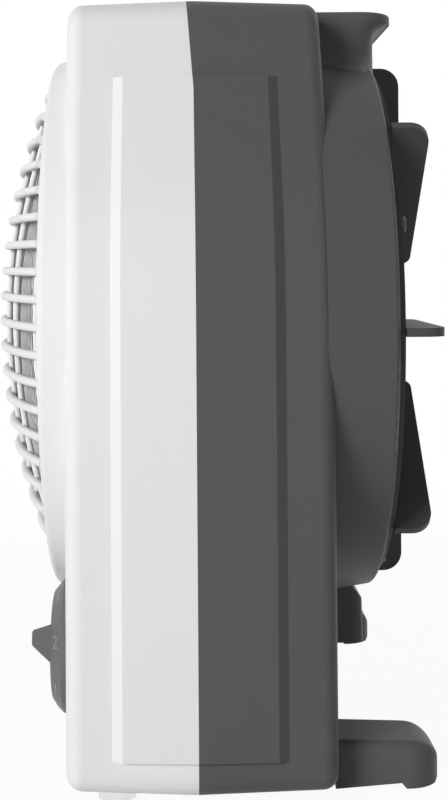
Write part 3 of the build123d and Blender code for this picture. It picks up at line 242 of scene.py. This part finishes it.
def group_shell(name, inputs, outputs):
    """Start a node group with named sockets for values, colours and vectors."""
    group = bpy.data.node_groups.new(name, "ShaderNodeTree")
    kinds = {"value": "NodeSocketFloat", "colour": "NodeSocketColor", "vector": "NodeSocketVector"}
    for label, kind, default in inputs:
        socket = group.interface.new_socket(label, in_out="INPUT", socket_type=kinds[kind])
        socket.default_value = default
    for label, kind in outputs:
        group.interface.new_socket(label, in_out="OUTPUT", socket_type=kinds[kind])
    return group, group.nodes.new("NodeGroupInput"), group.nodes.new("NodeGroupOutput")


def moulded_grain_group():
    """Fine moulded grain, faint colour drift and roughness drift for plastics."""
    group, feed, result = group_shell(
        "Moulded grain",
        [
            ("Colour", "colour", (0.5, 0.5, 0.5, 1)),
            ("Drift", "value", 0.03),
            ("Grain size", "value", 2500.0),
            ("Roughness", "value", 0.4),
            ("Roughness drift", "value", 0.05),
        ],
        [("Colour", "colour"), ("Roughness", "value"), ("Relief", "value")],
    )
    link = group.links.new
    position = group.nodes.new("ShaderNodeTexCoord")
    broad = new_node(group, "ShaderNodeTexNoise", Scale=14.0, Detail=4.0, Roughness=0.6)
    fine = new_node(group, "ShaderNodeTexNoise", Detail=2.0, Roughness=0.5)
    link(position.outputs["Object"], broad.inputs["Vector"])
    link(position.outputs["Object"], fine.inputs["Vector"])
    link(feed.outputs["Grain size"], fine.inputs["Scale"])
    centred = new_math(group, "SUBTRACT")
    centred.inputs[1].default_value = 0.5
    link(broad.outputs["Fac"], centred.inputs[0])
    scaled = new_math(group, "MULTIPLY_ADD")
    scaled.inputs[2].default_value = 1.0
    link(centred.outputs[0], scaled.inputs[0])
    link(feed.outputs["Drift"], scaled.inputs[1])
    tint = new_math(group, "SCALE", "ShaderNodeVectorMath")
    link(feed.outputs["Colour"], tint.inputs[0])
    link(scaled.outputs[0], tint.inputs["Scale"])
    link(tint.outputs[0], result.inputs["Colour"])
    rough = new_math(group, "MULTIPLY_ADD")
    link(centred.outputs[0], rough.inputs[0])
    link(feed.outputs["Roughness drift"], rough.inputs[1])
    link(feed.outputs["Roughness"], rough.inputs[2])
    link(rough.outputs[0], result.inputs["Roughness"])
    link(fine.outputs["Fac"], result.inputs["Relief"])
    return group


def metal_lines_group():
    """Fine lines along one axis for rolled, turned and drawn metal."""
    group, feed, result = group_shell(
        "Metal lines",
        [
            ("Colour", "colour", (0.5, 0.5, 0.5, 1)),
            ("Darker colour", "colour", (0.4, 0.4, 0.4, 1)),
            ("Stretch", "vector", (1, 40, 1)),
            ("Smoothest", "value", 0.25),
            ("Roughest", "value", 0.47),
        ],
        [("Colour", "colour"), ("Roughness", "value"), ("Relief", "value")],
    )
    link = group.links.new
    position = group.nodes.new("ShaderNodeTexCoord")
    mapping = group.nodes.new("ShaderNodeMapping")
    lines = new_node(group, "ShaderNodeTexNoise", Scale=60.0, Detail=5.0, Roughness=0.65)
    tone = group.nodes.new("ShaderNodeMapRange")
    shade = group.nodes.new("ShaderNodeMix")
    shade.data_type = "RGBA"
    link(position.outputs["Object"], mapping.inputs["Vector"])
    link(feed.outputs["Stretch"], mapping.inputs["Scale"])
    link(mapping.outputs[0], lines.inputs["Vector"])
    link(lines.outputs["Fac"], tone.inputs["Value"])
    link(feed.outputs["Smoothest"], tone.inputs["To Min"])
    link(feed.outputs["Roughest"], tone.inputs["To Max"])
    link(lines.outputs["Fac"], shade.inputs[0])
    link(feed.outputs["Darker colour"], shade.inputs[6])
    link(feed.outputs["Colour"], shade.inputs[7])
    link(shade.outputs[2], result.inputs["Colour"])
    link(tone.outputs[0], result.inputs["Roughness"])
    link(lines.outputs["Fac"], result.inputs["Relief"])
    return group


def finish(name, tint, group, relief, strength, **inputs):
    """Material, and its shader, that take colour, roughness and relief from a node group's named inputs."""
    material = bpy.data.materials.new(name)
    material.use_nodes = True
    tree = material.node_tree
    shader = tree.nodes["Principled BSDF"]
    surface = tree.nodes.new("ShaderNodeGroup")
    surface.node_tree = group
    surface.inputs["Colour"].default_value = (*tint, 1)
    for label, value in inputs.items():
        surface.inputs[label.replace("_", " ")].default_value = value
    bump = new_node(tree, "ShaderNodeBump", Strength=strength, Distance=relief)
    link = tree.links.new
    link(surface.outputs["Colour"], shader.inputs["Base Color"])
    link(surface.outputs["Roughness"], shader.inputs["Roughness"])
    link(surface.outputs["Relief"], bump.inputs["Height"])
    link(bump.outputs["Normal"], shader.inputs["Normal"])
    material.diffuse_color = (*tint, 1)
    return material, shader


def moulded(name, tint, roughness, grain=0.00002, grain_size=2500.0, drift=0.03, specular=0.5):
    """Moulded plastic finish."""
    material, shader = finish(
        name, tint, shared["grain"], grain, 0.6, Drift=drift, Roughness=roughness, Grain_size=grain_size
    )
    shader.inputs["Specular IOR Level"].default_value = specular
    return material


def brushed(name, tint, roughness, stretch, metallic=1.0):
    """Rolled, turned or drawn metal finish."""
    darker = (*[0.82 * channel for channel in tint], 1)
    smoothest, roughest = roughness - 0.1, roughness + 0.12
    material, shader = finish(
        name,
        tint,
        shared["lines"],
        0.00002,
        0.4,
        Darker_colour=darker,
        Stretch=stretch,
        Smoothest=smoothest,
        Roughest=roughest,
    )
    shader.inputs["Metallic"].default_value = metallic
    return material


shared = {}
finishes = {}


def make_finishes(colours):
    """Build every material once, named as the record's slots, with two more for print and mesh."""
    shared["grain"] = moulded_grain_group()
    shared["lines"] = metal_lines_group()
    finishes.update(
        white_shell=moulded("White moulded plastic", colours.white, 0.42, 0.00003, 1800.0, 0.02, 0.35),
        white_grille=moulded("White grille plastic", colours.white, 0.38, 0.00002, 2200.0, 0.02),
        dark_shell=moulded("Dark grained plastic", colours.dark, 0.5, 0.00006, 1500.0, 0.08, 0.15),
        dark_guard=moulded("Guard plastic", colours.guard, 0.52, 0.00006, 1500.0, 0.1, 0.15),
        grey_knob=moulded("Knob plastic", colours.knob, 0.45, 0.00003, 2200.0, 0.04, 0.25),
        sheet_steel=brushed("Rolled sheet steel", (0.66, 0.66, 0.66), 0.38, (1, 1, 30)),
        mica=moulded("Pressed mica", (0.5, 0.45, 0.36), 0.6, 0.0001, 600.0, 0.35),
        ribbon_alloy=brushed("Resistance ribbon", (0.36, 0.34, 0.33), 0.45, (1, 30, 1)),
        ceramic=moulded("Unglazed ceramic", (0.74, 0.72, 0.67), 0.75, 0.00008, 900.0, 0.06),
        fuse_metal=brushed("Fuse can", (0.72, 0.72, 0.72), 0.3, (1, 30, 1)),
        fan_plastic=moulded("Fan plastic", (0.035, 0.035, 0.036), 0.5, 0.00005, 1500.0, 0.1),
        lamination_steel=brushed("Stacked laminations", (0.3, 0.3, 0.31), 0.45, (1, 90, 1)),
        copper=brushed("Enamelled copper", (0.5, 0.2, 0.09), 0.32, (40, 1, 1)),
        bearing_bronze=brushed("Sintered bronze", (0.45, 0.32, 0.16), 0.5, (8, 8, 8)),
        plated_steel=brushed("Plated steel", (0.62, 0.62, 0.62), 0.28, (12, 12, 12)),
        black_steel=brushed("Blackened steel", (0.06, 0.06, 0.062), 0.42, (12, 12, 12), 0.7),
        amber_lens=moulded("Amber lens", (0.75, 0.24, 0.02), 0.12, 0.000005, 900.0, 0.03),
        lamp_glass=moulded("Lamp glass", (0.8, 0.76, 0.7), 0.1, 0.000005, 900.0, 0.02),
        lead_sleeve=moulded("Lead sleeve", (0.68, 0.68, 0.66), 0.55, 0.00004, 1200.0, 0.05),
        mesh_wire=moulded("Mesh wire", (0.70, 0.70, 0.70), 0.5, 0.000004, 3000.0, 0.05),
        mark_print=moulded("Printed mark", colours.mark, 0.55, 0.000004, 3000.0, 0.05),
    )


# Mesh helpers


def wear(piece, slot, look=None):
    """Give a piece the finish of the record's slot, or of look when one is given."""
    piece.data.materials.clear()
    piece.data.materials.append(finishes[look or slot])


def node_slot(node):
    """Material slot that the record gives a node."""
    return next(s["material_slot"] for s in frame["record"]["subparts"] if s["node"] == node)


def node_body(node):
    """Body that the record puts a node on."""
    return next(body for body, nodes in frame["record"]["behaviour"]["bodies"].items() if node in nodes)


def grille_seat():
    """Where the plain grille's front and back stand, its radius and the height of the axle."""
    low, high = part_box("front_grille")
    axle = (low.z + high.z) / 2
    return low.y, high.y, high.z - axle, axle


def knob_centre(knob, y):
    """Point on a knob's axis."""
    low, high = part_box(knob)
    return Vector(((low.x + high.x) / 2, y, (low.z + high.z) / 2))


def edit(piece):
    """Make a piece active and go into edit mode with all of it selected."""
    bpy.ops.object.select_all(action="DESELECT")
    piece.select_set(True)
    bpy.context.view_layer.objects.active = piece
    bpy.ops.object.mode_set(mode="EDIT")
    bpy.ops.mesh.select_all(action="SELECT")


def close_up(smooth_below):
    """Turn the selected faces outwards, leave edit mode and smooth edges flatter than an angle."""
    bpy.ops.mesh.normals_make_consistent(inside=False)
    bpy.ops.object.mode_set(mode="OBJECT")
    bpy.ops.object.shade_smooth_by_angle(angle=math.radians(smooth_below))


def joined(pieces, name):
    """Join pieces into one, with its origin at the world's."""
    bpy.ops.object.select_all(action="DESELECT")
    for piece in pieces:
        piece.select_set(True)
    bpy.context.view_layer.objects.active = pieces[0]
    if len(pieces) > 1:
        bpy.ops.object.join()
    bpy.ops.object.transform_apply(location=True, rotation=True, scale=True)
    whole = bpy.context.active_object
    whole.name = name
    return whole


def sagitta(radius, offset):
    """How far an arc has dropped back at an offset from its middle."""
    return radius - math.sqrt(radius**2 - offset**2)


def arc_bar(middle, half_angle, centre, axis, section, sides=BAR_SIDES, steps=BAR_STEPS):
    """Rounded bar spun about an axis through centre, with section (along the axis, across it)."""
    level = axis == UP
    turn = (0, math.pi / 2, 0) if level else (0, 0, 0)
    bpy.ops.mesh.primitive_circle_add(vertices=sides, radius=1, location=middle, rotation=turn)
    bar = bpy.context.active_object
    bpy.ops.object.transform_apply(location=True, rotation=True, scale=True)
    along, across = section[0] / 2, section[1] / 2
    size = (1, across, along) if level else (along, across, 1)
    for vertex in bar.data.vertices:
        offset = Vector(vertex.co) - Vector(middle)
        sharp = max(abs(offset.y), abs(offset.x), abs(offset.z)) ** SQUARENESS
        vertex.co = Vector(middle) + Vector([o / sharp * s for o, s in zip(offset, size)])
    back = Matrix.Translation(centre) @ Matrix.Rotation(half_angle, 4, axis)
    bar.data.transform(back @ Matrix.Translation([-c for c in centre]))
    edit(bar)
    bpy.ops.mesh.spin(steps=steps, angle=2 * half_angle, center=centre, axis=axis)
    bpy.ops.mesh.select_all(action="SELECT")
    bpy.ops.mesh.fill_holes(sides=0)
    bpy.ops.mesh.select_all(action="SELECT")
    close_up(smooth_below=50)
    return bar


# Operators


class FANHEATER_OT_finishes(bpy.types.Operator):
    """Give every CAD node its finish"""

    bl_idname = "fanheater.finishes"
    bl_label = "Finish the moulded and metal parts"

    def execute(self, context):
        make_finishes(context.scene.fan_heater_finish)
        for node, piece in frame["nodes"].items():
            piece.data.materials.clear()
            piece.data.materials.append(finishes[node_slot(node)])
        return {"FINISHED"}


class FANHEATER_OT_grille(bpy.types.Operator):
    """Domed grille with rounded bars, in place of the plain one"""

    bl_idname = "fanheater.grille"
    bl_label = "Domed grille"

    def execute(self, context):
        sizes = context.scene.fan_heater_grille
        front, seat, outer, axle = grille_seat()
        level = [self.level_bar(sizes, step, front, axle) for step in range(sizes.level_count)]
        upright = [self.upright_bar(sizes, step, front, axle) for step in range(sizes.upright_count)]
        ring = self.ring(sizes, front, seat, outer, axle)
        grille = joined([*level, *upright, ring], "outlet_grille")
        wear(grille, "white_grille")
        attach(grille, CASE)
        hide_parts("front_grille")
        return {"FINISHED"}

    def level_bar(self, sizes, step, front, axle):
        """Level bar that ends in the ring."""
        from_middle = (step - (sizes.level_count - 1) / 2) * sizes.level_pitch
        rise = from_middle + sizes.level_lift
        face = front + sagitta(sizes.dome_radius, from_middle)
        half = math.asin(math.sqrt(sizes.ring_middle**2 - rise**2) / sizes.plan_radius)
        middle = (0, face + sizes.level_depth / 2, axle + rise)
        centre = (0, face + sizes.plan_radius, middle[2])
        return arc_bar(middle, half, centre, UP, (sizes.level_height, sizes.level_depth))

    def upright_bar(self, sizes, step, front, axle):
        """Thinner upright bar behind the level ones."""
        out = (step - (sizes.upright_count - 1) / 2) * sizes.upright_pitch
        face = front + sagitta(sizes.plan_radius, out) + sizes.upright_sink
        half = math.asin(math.sqrt(sizes.ring_middle**2 - out**2) / sizes.dome_radius)
        middle = (out, face + sizes.upright_depth / 2, axle + sizes.level_lift)
        centre = (out, face + sizes.dome_radius, middle[2])
        return arc_bar(middle, half, centre, ACROSS, (sizes.upright_width, sizes.upright_depth))

    def ring(self, sizes, front, seat, outer, axle):
        """Ring that holds the bars, with rounded edges and a front that slopes with the dome."""
        inner = 2 * sizes.ring_middle - outer
        front += sizes.ring_sink
        inner_front = front + sagitta(sizes.ring_dome, inner)
        outer_front = front + sagitta(sizes.ring_dome, outer)
        bpy.ops.mesh.primitive_plane_add(size=1, location=(0, 0, axle))
        ring = bpy.context.active_object
        bpy.ops.object.transform_apply(location=True, rotation=True, scale=True)
        corners = [(seat, inner), (seat, outer), (inner_front, inner), (outer_front, outer)]
        for vertex, (y, radius) in zip(ring.data.vertices, corners):
            vertex.co = (0, y, axle + radius)
        edit(ring)
        bpy.ops.mesh.bevel(offset=sizes.ring_edge, segments=3, affect="VERTICES")
        bpy.ops.mesh.delete(type="ONLY_FACE")
        bpy.ops.mesh.select_all(action="SELECT")
        bpy.ops.mesh.spin(steps=RING_STEPS, angle=2 * math.pi, center=(0, 0, axle), axis=BACK)
        bpy.ops.mesh.select_all(action="SELECT")
        bpy.ops.mesh.remove_doubles(threshold=MERGE)
        close_up(smooth_below=40)
        return ring


class FANHEATER_OT_mesh(bpy.types.Operator):
    """Fine wire mesh behind the bars of the grille"""

    bl_idname = "fanheater.mesh"
    bl_label = "Fine mesh"

    def execute(self, context):
        sizes = context.scene.fan_heater_grille
        front, _, _, axle = grille_seat()
        front += sizes.mesh_sink
        edge = sizes.ring_middle - sizes.mesh_inset
        uprights = int(edge / sizes.wire_pitch)
        levels = sizes.level_count // 2
        section = (sizes.wire, sizes.wire)
        wires = []
        for step in range(-uprights, uprights + 1):
            out = step * sizes.wire_pitch
            face = front + sagitta(sizes.plan_radius, out)
            half = math.asin(math.sqrt(edge**2 - out**2) / sizes.dome_radius)
            centre = (out, face + sizes.dome_radius, axle)
            wires.append(arc_bar((out, face, axle), half, centre, ACROSS, section, WIRE_SIDES, WIRE_STEPS))
        for step in range(-levels, levels + 1):
            rise = step * sizes.level_pitch
            face = front + sizes.wire + sagitta(sizes.dome_radius, rise)
            half = math.asin(math.sqrt(edge**2 - rise**2) / sizes.plan_radius)
            centre = (0, face + sizes.plan_radius, axle + rise)
            wires.append(arc_bar((0, face, axle + rise), half, centre, UP, section, WIRE_SIDES, WIRE_STEPS))
        mesh = joined(wires, "outlet_mesh")
        wear(mesh, "plated_steel", "mesh_wire")
        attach(mesh, CASE)
        return {"FINISHED"}


class FANHEATER_OT_neck(bpy.types.Operator):
    """Skin under the carrying lip that runs down smoothly onto the drum"""

    bl_idname = "fanheater.neck"
    bl_label = "Neck of the lip"

    def execute(self, context):
        sizes = context.scene.fan_heater_neck
        _, _, _, axle = grille_seat()
        path = self.outline(sizes)
        last = len(path) - 1
        bpy.ops.mesh.primitive_grid_add(x_subdivisions=last, y_subdivisions=NECK_ROWS - 1, size=1)
        neck = bpy.context.active_object
        for vertex in neck.data.vertices:
            station = round((vertex.co.x + 0.5) * last)
            share = vertex.co.y + 0.5
            vertex.co = self.point(sizes, path[station], share) + Vector((0, 0, axle))
        edit(neck)
        bpy.ops.mesh.normals_make_consistent(inside=False)
        bpy.ops.object.mode_set(mode="OBJECT")
        skin = neck.modifiers.new("Wall", "SOLIDIFY")
        skin.thickness, skin.offset = sizes.wall, -1
        bpy.ops.object.modifier_apply(modifier=skin.name)
        edit(neck)
        close_up(smooth_below=40)
        neck = joined([neck], "lip_neck_skin")
        wear(neck, "dark_shell")
        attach(neck, CASE)
        return {"FINISHED"}

    def outline(self, sizes):
        """Stations round the neck from its right front to its left front: place and way out."""
        wide, corner = sizes.half_width, sizes.corner
        bend = sizes.rear - corner
        half = []
        for step in range(NECK_SIDE_STEPS):
            back = sizes.front + (bend - sizes.front) * step / NECK_SIDE_STEPS
            half.append(((wide, back), (1, 0)))
        for step in range(NECK_BEND_STEPS + 1):
            turn = math.pi / 2 * step / NECK_BEND_STEPS
            out = (math.cos(turn), math.sin(turn))
            half.append(((wide - corner + corner * out[0], bend + corner * out[1]), out))
        return half + [((-x, y), (-out_x, out_y)) for (x, y), (out_x, out_y) in reversed(half)]

    def point(self, sizes, station, share):
        """Point of the skin: share 0 is inside the lip, 1 is inside the drum."""
        (x, y), (out_x, out_y) = station
        along = (y - sizes.drum_front) / (sizes.drum_rear - sizes.drum_front)
        drum = sizes.drum_front_radius + (sizes.drum_rear_radius - sizes.drum_front_radius) * along
        reach = drum + sizes.blend
        beside = sizes.half_width + sizes.blend
        centre = math.sqrt(reach**2 - beside**2)
        foot = centre * drum / reach
        top = sizes.under_lip + sizes.lip_lap
        height = top + (foot - sizes.drum_lap - top) * share
        flare = 0.0
        if height < centre:
            flare = sagitta(sizes.blend, min(centre - height, centre - foot))
        rise = min(height, sizes.under_lip) - (sizes.under_lip - sizes.cove)
        cove = sagitta(sizes.cove, rise) if rise > 0 else 0.0
        return Vector((x + flare * out_x, y + cove * out_y, height))


class FANHEATER_OT_dials(bpy.types.Operator):
    """Printed numbers on the two knobs and index bars on the shell"""

    bl_idname = "fanheater.dials"
    bl_label = "Dial numbers"

    def execute(self, context):
        sizes = context.scene.fan_heater_dials
        mirrored = math.pi - sizes.zero
        self.numbers(sizes, "thermostat_knob", sizes.zero, sizes.thermostat_step, sizes.thermostat_count)
        self.numbers(sizes, "switch_knob", mirrored, sizes.switch_step, sizes.switch_count)
        bars = [
            self.index(sizes, "thermostat_knob", sizes.zero),
            self.index(sizes, "switch_knob", mirrored),
        ]
        marks = joined(bars, "index_marks")
        wear(marks, "white_shell", "mark_print")
        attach(marks, CASE)
        return {"FINISHED"}

    def numbers(self, sizes, knob, zero, step, count):
        """Numbers from 0 up, printed on the cone of a knob, each with its top along the rim."""
        _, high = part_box(knob)
        centre = knob_centre(knob, high.y - sizes.cone_depth)
        slant = math.hypot(sizes.cone_fall, sizes.cone_draw)
        forward = -Vector(BACK)
        digits = []
        for number in range(count):
            turned = zero + number * step
            radial = Vector((math.cos(turned), 0, math.sin(turned)))
            around = Vector((-math.sin(turned), 0, math.cos(turned)))
            face = (radial * sizes.cone_fall + forward * sizes.cone_draw) / slant
            spot = centre + radial * sizes.cone_radius + face * sizes.print_lift
            turn = Matrix((around.cross(face), around, face)).transposed().to_4x4()
            digit = self.digit(sizes, number)
            digit.data.transform(Matrix.Translation(spot) @ turn)
            digits.append(digit)
        piece = joined(digits, f"{knob}_numbers")
        wear(piece, "grey_knob", "mark_print")
        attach(piece, node_body(knob))

    def digit(self, sizes, number):
        """Thin mesh of one number, standing at the origin."""
        bpy.ops.object.text_add()
        text = bpy.context.active_object
        text.data.body = str(number)
        text.data.size = sizes.number_height / DIGIT_SHARE
        text.data.align_x, text.data.align_y = "CENTER", "CENTER"
        text.data.extrude = sizes.print_depth
        text.data.resolution_u = 6
        bpy.ops.object.select_all(action="DESELECT")
        text.select_set(True)
        bpy.ops.object.convert(target="MESH")
        return bpy.context.active_object

    def index(self, sizes, knob, turned):
        """Small printed bar on the shell that the knob's numbers are read against."""
        radial = Vector((math.cos(turned), 0, math.sin(turned)))
        spot, normal = self.shell_face(knob_centre(knob, 0) + radial * sizes.index_radius)
        side = radial.cross(normal).normalized()
        turn = Matrix((normal.cross(side), side, normal)).transposed().to_4x4()
        bpy.ops.mesh.primitive_cube_add(size=1)
        bar = bpy.context.active_object
        size = Matrix.Diagonal((sizes.index_length, sizes.index_width, sizes.index_depth, 1))
        bar.data.transform(Matrix.Translation(spot) @ turn @ size)
        edit(bar)
        bpy.ops.mesh.bevel(offset=sizes.index_edge, segments=2)
        bpy.ops.object.mode_set(mode="OBJECT")
        return bar

    def shell_face(self, spot):
        """Point and normal of the front shell that face forwards in line with spot."""
        shell = frame["nodes"]["front_housing"]
        inverse = shell.matrix_world.inverted()
        start = inverse @ Vector((spot.x, 2 * cad_box[0][1], spot.z))
        way = (inverse.to_3x3() @ Vector(BACK)).normalized()
        hit, point, normal, _ = shell.ray_cast(start, way)
        if not hit:
            raise RuntimeError("the front shell isn't where an index bar should stand")
        return shell.matrix_world @ point, (shell.matrix_world.to_3x3() @ normal).normalized()


class FANHEATER_OT_stage(bpy.types.Operator):
    """Set up the floor, the sky, the lamps and the camera"""

    bl_idname = "fanheater.stage"
    bl_label = "Studio"

    def execute(self, context):
        studio = context.scene.fan_heater_studio
        self.floor(studio)
        self.sky(studio)
        self.lamp("Key lamp", studio.key_place, studio.key_size, studio.key_power, studio.aim)
        self.lamp("Fill lamp", studio.fill_place, studio.fill_size, studio.fill_power, studio.aim)
        self.camera(studio)
        return {"FINISHED"}

    def seen_rays(self, tree):
        """Socket that is 1 for rays from the camera, in reflections and through clear pieces."""
        path = tree.nodes.new("ShaderNodeLightPath")
        socket = path.outputs["Is Camera Ray"]
        for other in ("Is Glossy Ray", "Is Transmission Ray"):
            either = new_math(tree, "MAXIMUM")
            tree.links.new(socket, either.inputs[0])
            tree.links.new(path.outputs[other], either.inputs[1])
            socket = either.outputs[0]
        return socket

    def floor(self, studio):
        """Painted floor that takes a shadow near the heater and turns plain white further out."""
        bpy.ops.object.select_all(action="DESELECT")
        bpy.ops.mesh.primitive_plane_add(size=studio.floor_size, location=(0, 0, -studio.floor_drop))
        floor = bpy.context.active_object
        floor.name = "floor"
        material = bpy.data.materials.new("Pale floor")
        material.use_nodes = True
        tree = material.node_tree
        tree.nodes.clear()
        link = tree.links.new
        out = tree.nodes.new("ShaderNodeOutputMaterial")
        seen = new_node(tree, "ShaderNodeEmission", Color=WHITE, Strength=1.0)
        grey = studio.floor_grey
        paint = new_node(tree, "ShaderNodeBsdfDiffuse", Color=(grey, grey, grey, 1))
        blend = tree.nodes.new("ShaderNodeMixShader")
        position = tree.nodes.new("ShaderNodeTexCoord")
        reach = new_math(tree, "LENGTH", "ShaderNodeVectorMath")
        fade = new_node(
            tree,
            "ShaderNodeMapRange",
            From_Min=studio.glow_near,
            From_Max=studio.glow_far,
            To_Min=studio.glow_share,
        )
        fade.interpolation_type = "SMOOTHSTEP"
        share = new_math(tree, "MULTIPLY")
        link(position.outputs["Object"], reach.inputs[0])
        link(reach.outputs["Value"], fade.inputs["Value"])
        link(fade.outputs[0], share.inputs[0])
        link(self.seen_rays(tree), share.inputs[1])
        link(share.outputs[0], blend.inputs[0])
        link(paint.outputs[0], blend.inputs[1])
        link(seen.outputs[0], blend.inputs[2])
        link(blend.outputs[0], out.inputs["Surface"])
        floor.data.materials.append(material)

    def sky(self, studio):
        """White backdrop whose light on the heater fades upwards."""
        world = bpy.data.worlds.new("Studio")
        bpy.context.scene.world = world
        world.use_nodes = True
        tree = world.node_tree
        tree.nodes.clear()
        link = tree.links.new
        out = tree.nodes.new("ShaderNodeOutputWorld")
        seen = new_node(tree, "ShaderNodeBackground", Color=WHITE, Strength=1.0)
        lit = new_node(tree, "ShaderNodeBackground", Color=WHITE)
        direction = tree.nodes.new("ShaderNodeTexCoord")
        parts = tree.nodes.new("ShaderNodeSeparateXYZ")
        fade = new_node(
            tree,
            "ShaderNodeMapRange",
            From_Min=studio.sky_low,
            From_Max=studio.sky_high,
            To_Min=studio.sky_level,
            To_Max=studio.sky_top * studio.sky_level,
        )
        blend = tree.nodes.new("ShaderNodeMixShader")
        link(direction.outputs["Generated"], parts.inputs[0])
        link(parts.outputs["Z"], fade.inputs["Value"])
        link(fade.outputs[0], lit.inputs["Strength"])
        link(self.seen_rays(tree), blend.inputs[0])
        link(lit.outputs[0], blend.inputs[1])
        link(seen.outputs[0], blend.inputs[2])
        link(blend.outputs[0], out.inputs["Surface"])

    def lamp(self, name, spot, size, power, aim):
        """Round soft lamp that faces the heater and isn't mirrored in it."""
        data = bpy.data.lights.new(name, "AREA")
        data.shape = "DISK"
        data.size = size
        data.energy = power
        lamp = bpy.data.objects.new(name, data)
        bpy.context.scene.collection.objects.link(lamp)
        lamp.location = spot
        lamp.visible_glossy = False
        towards = Vector(aim) - Vector(spot)
        lamp.rotation_euler = towards.to_track_quat("-Z", "Y").to_euler()

    def camera(self, studio):
        """Camera on the right of the heater, level, with its view shifted as in the photograph."""
        data = bpy.data.cameras.new("Camera")
        camera = bpy.data.objects.new("Camera", data)
        bpy.context.scene.collection.objects.link(camera)
        data.lens = studio.lens
        data.sensor_width = SENSOR_WIDTH
        largest = max(PHOTO_SIZE)
        data.shift_x = (PHOTO_SIZE[0] / 2 - PHOTO_CENTRE[0]) / largest
        data.shift_y = (PHOTO_CENTRE[1] - PHOTO_SIZE[1] / 2) / largest
        data.clip_start = 0.01
        quarter = math.radians(90)
        level = Matrix.Rotation(quarter, 4, "Z") @ Matrix.Rotation(quarter, 4, "X")
        stand = Matrix.Translation((studio.distance, studio.depth, studio.height))
        camera.matrix_world = stand @ level @ Matrix.Rotation(studio.roll, 4, "Z")
        bpy.context.scene.camera = camera


class FANHEATER_PT_panel(bpy.types.Panel):
    """Buttons for each piece and the studio"""

    bl_label = "Fan heater"
    bl_space_type = "VIEW_3D"
    bl_region_type = "UI"
    bl_category = "Fan heater"

    def draw(self, context):
        for step in steps:
            self.layout.operator(step.bl_idname)


steps = (
    FANHEATER_OT_finishes,
    FANHEATER_OT_grille,
    FANHEATER_OT_mesh,
    FANHEATER_OT_neck,
    FANHEATER_OT_dials,
    FANHEATER_OT_stage,
)
groups = {
    "fan_heater_finish": FinishSettings,
    "fan_heater_grille": GrilleSettings,
    "fan_heater_neck": NeckSettings,
    "fan_heater_dials": DialSettings,
    "fan_heater_studio": StudioSettings,
}
classes = (*groups.values(), *steps, FANHEATER_PT_panel)


def register():
    for each in classes:
        bpy.utils.register_class(each)
    for name, group in groups.items():
        setattr(bpy.types.Scene, name, PointerProperty(type=group))


def unregister():
    for name in groups:
        delattr(bpy.types.Scene, name)
    for each in reversed(classes):
        bpy.utils.unregister_class(each)


def main():
    register()
    bpy.context.scene.view_settings.view_transform = "Standard"
    for step in steps:
        group, name = step.bl_idname.split(".")
        getattr(getattr(bpy.ops, group), name)()


if __name__ == "__main__":
    main()
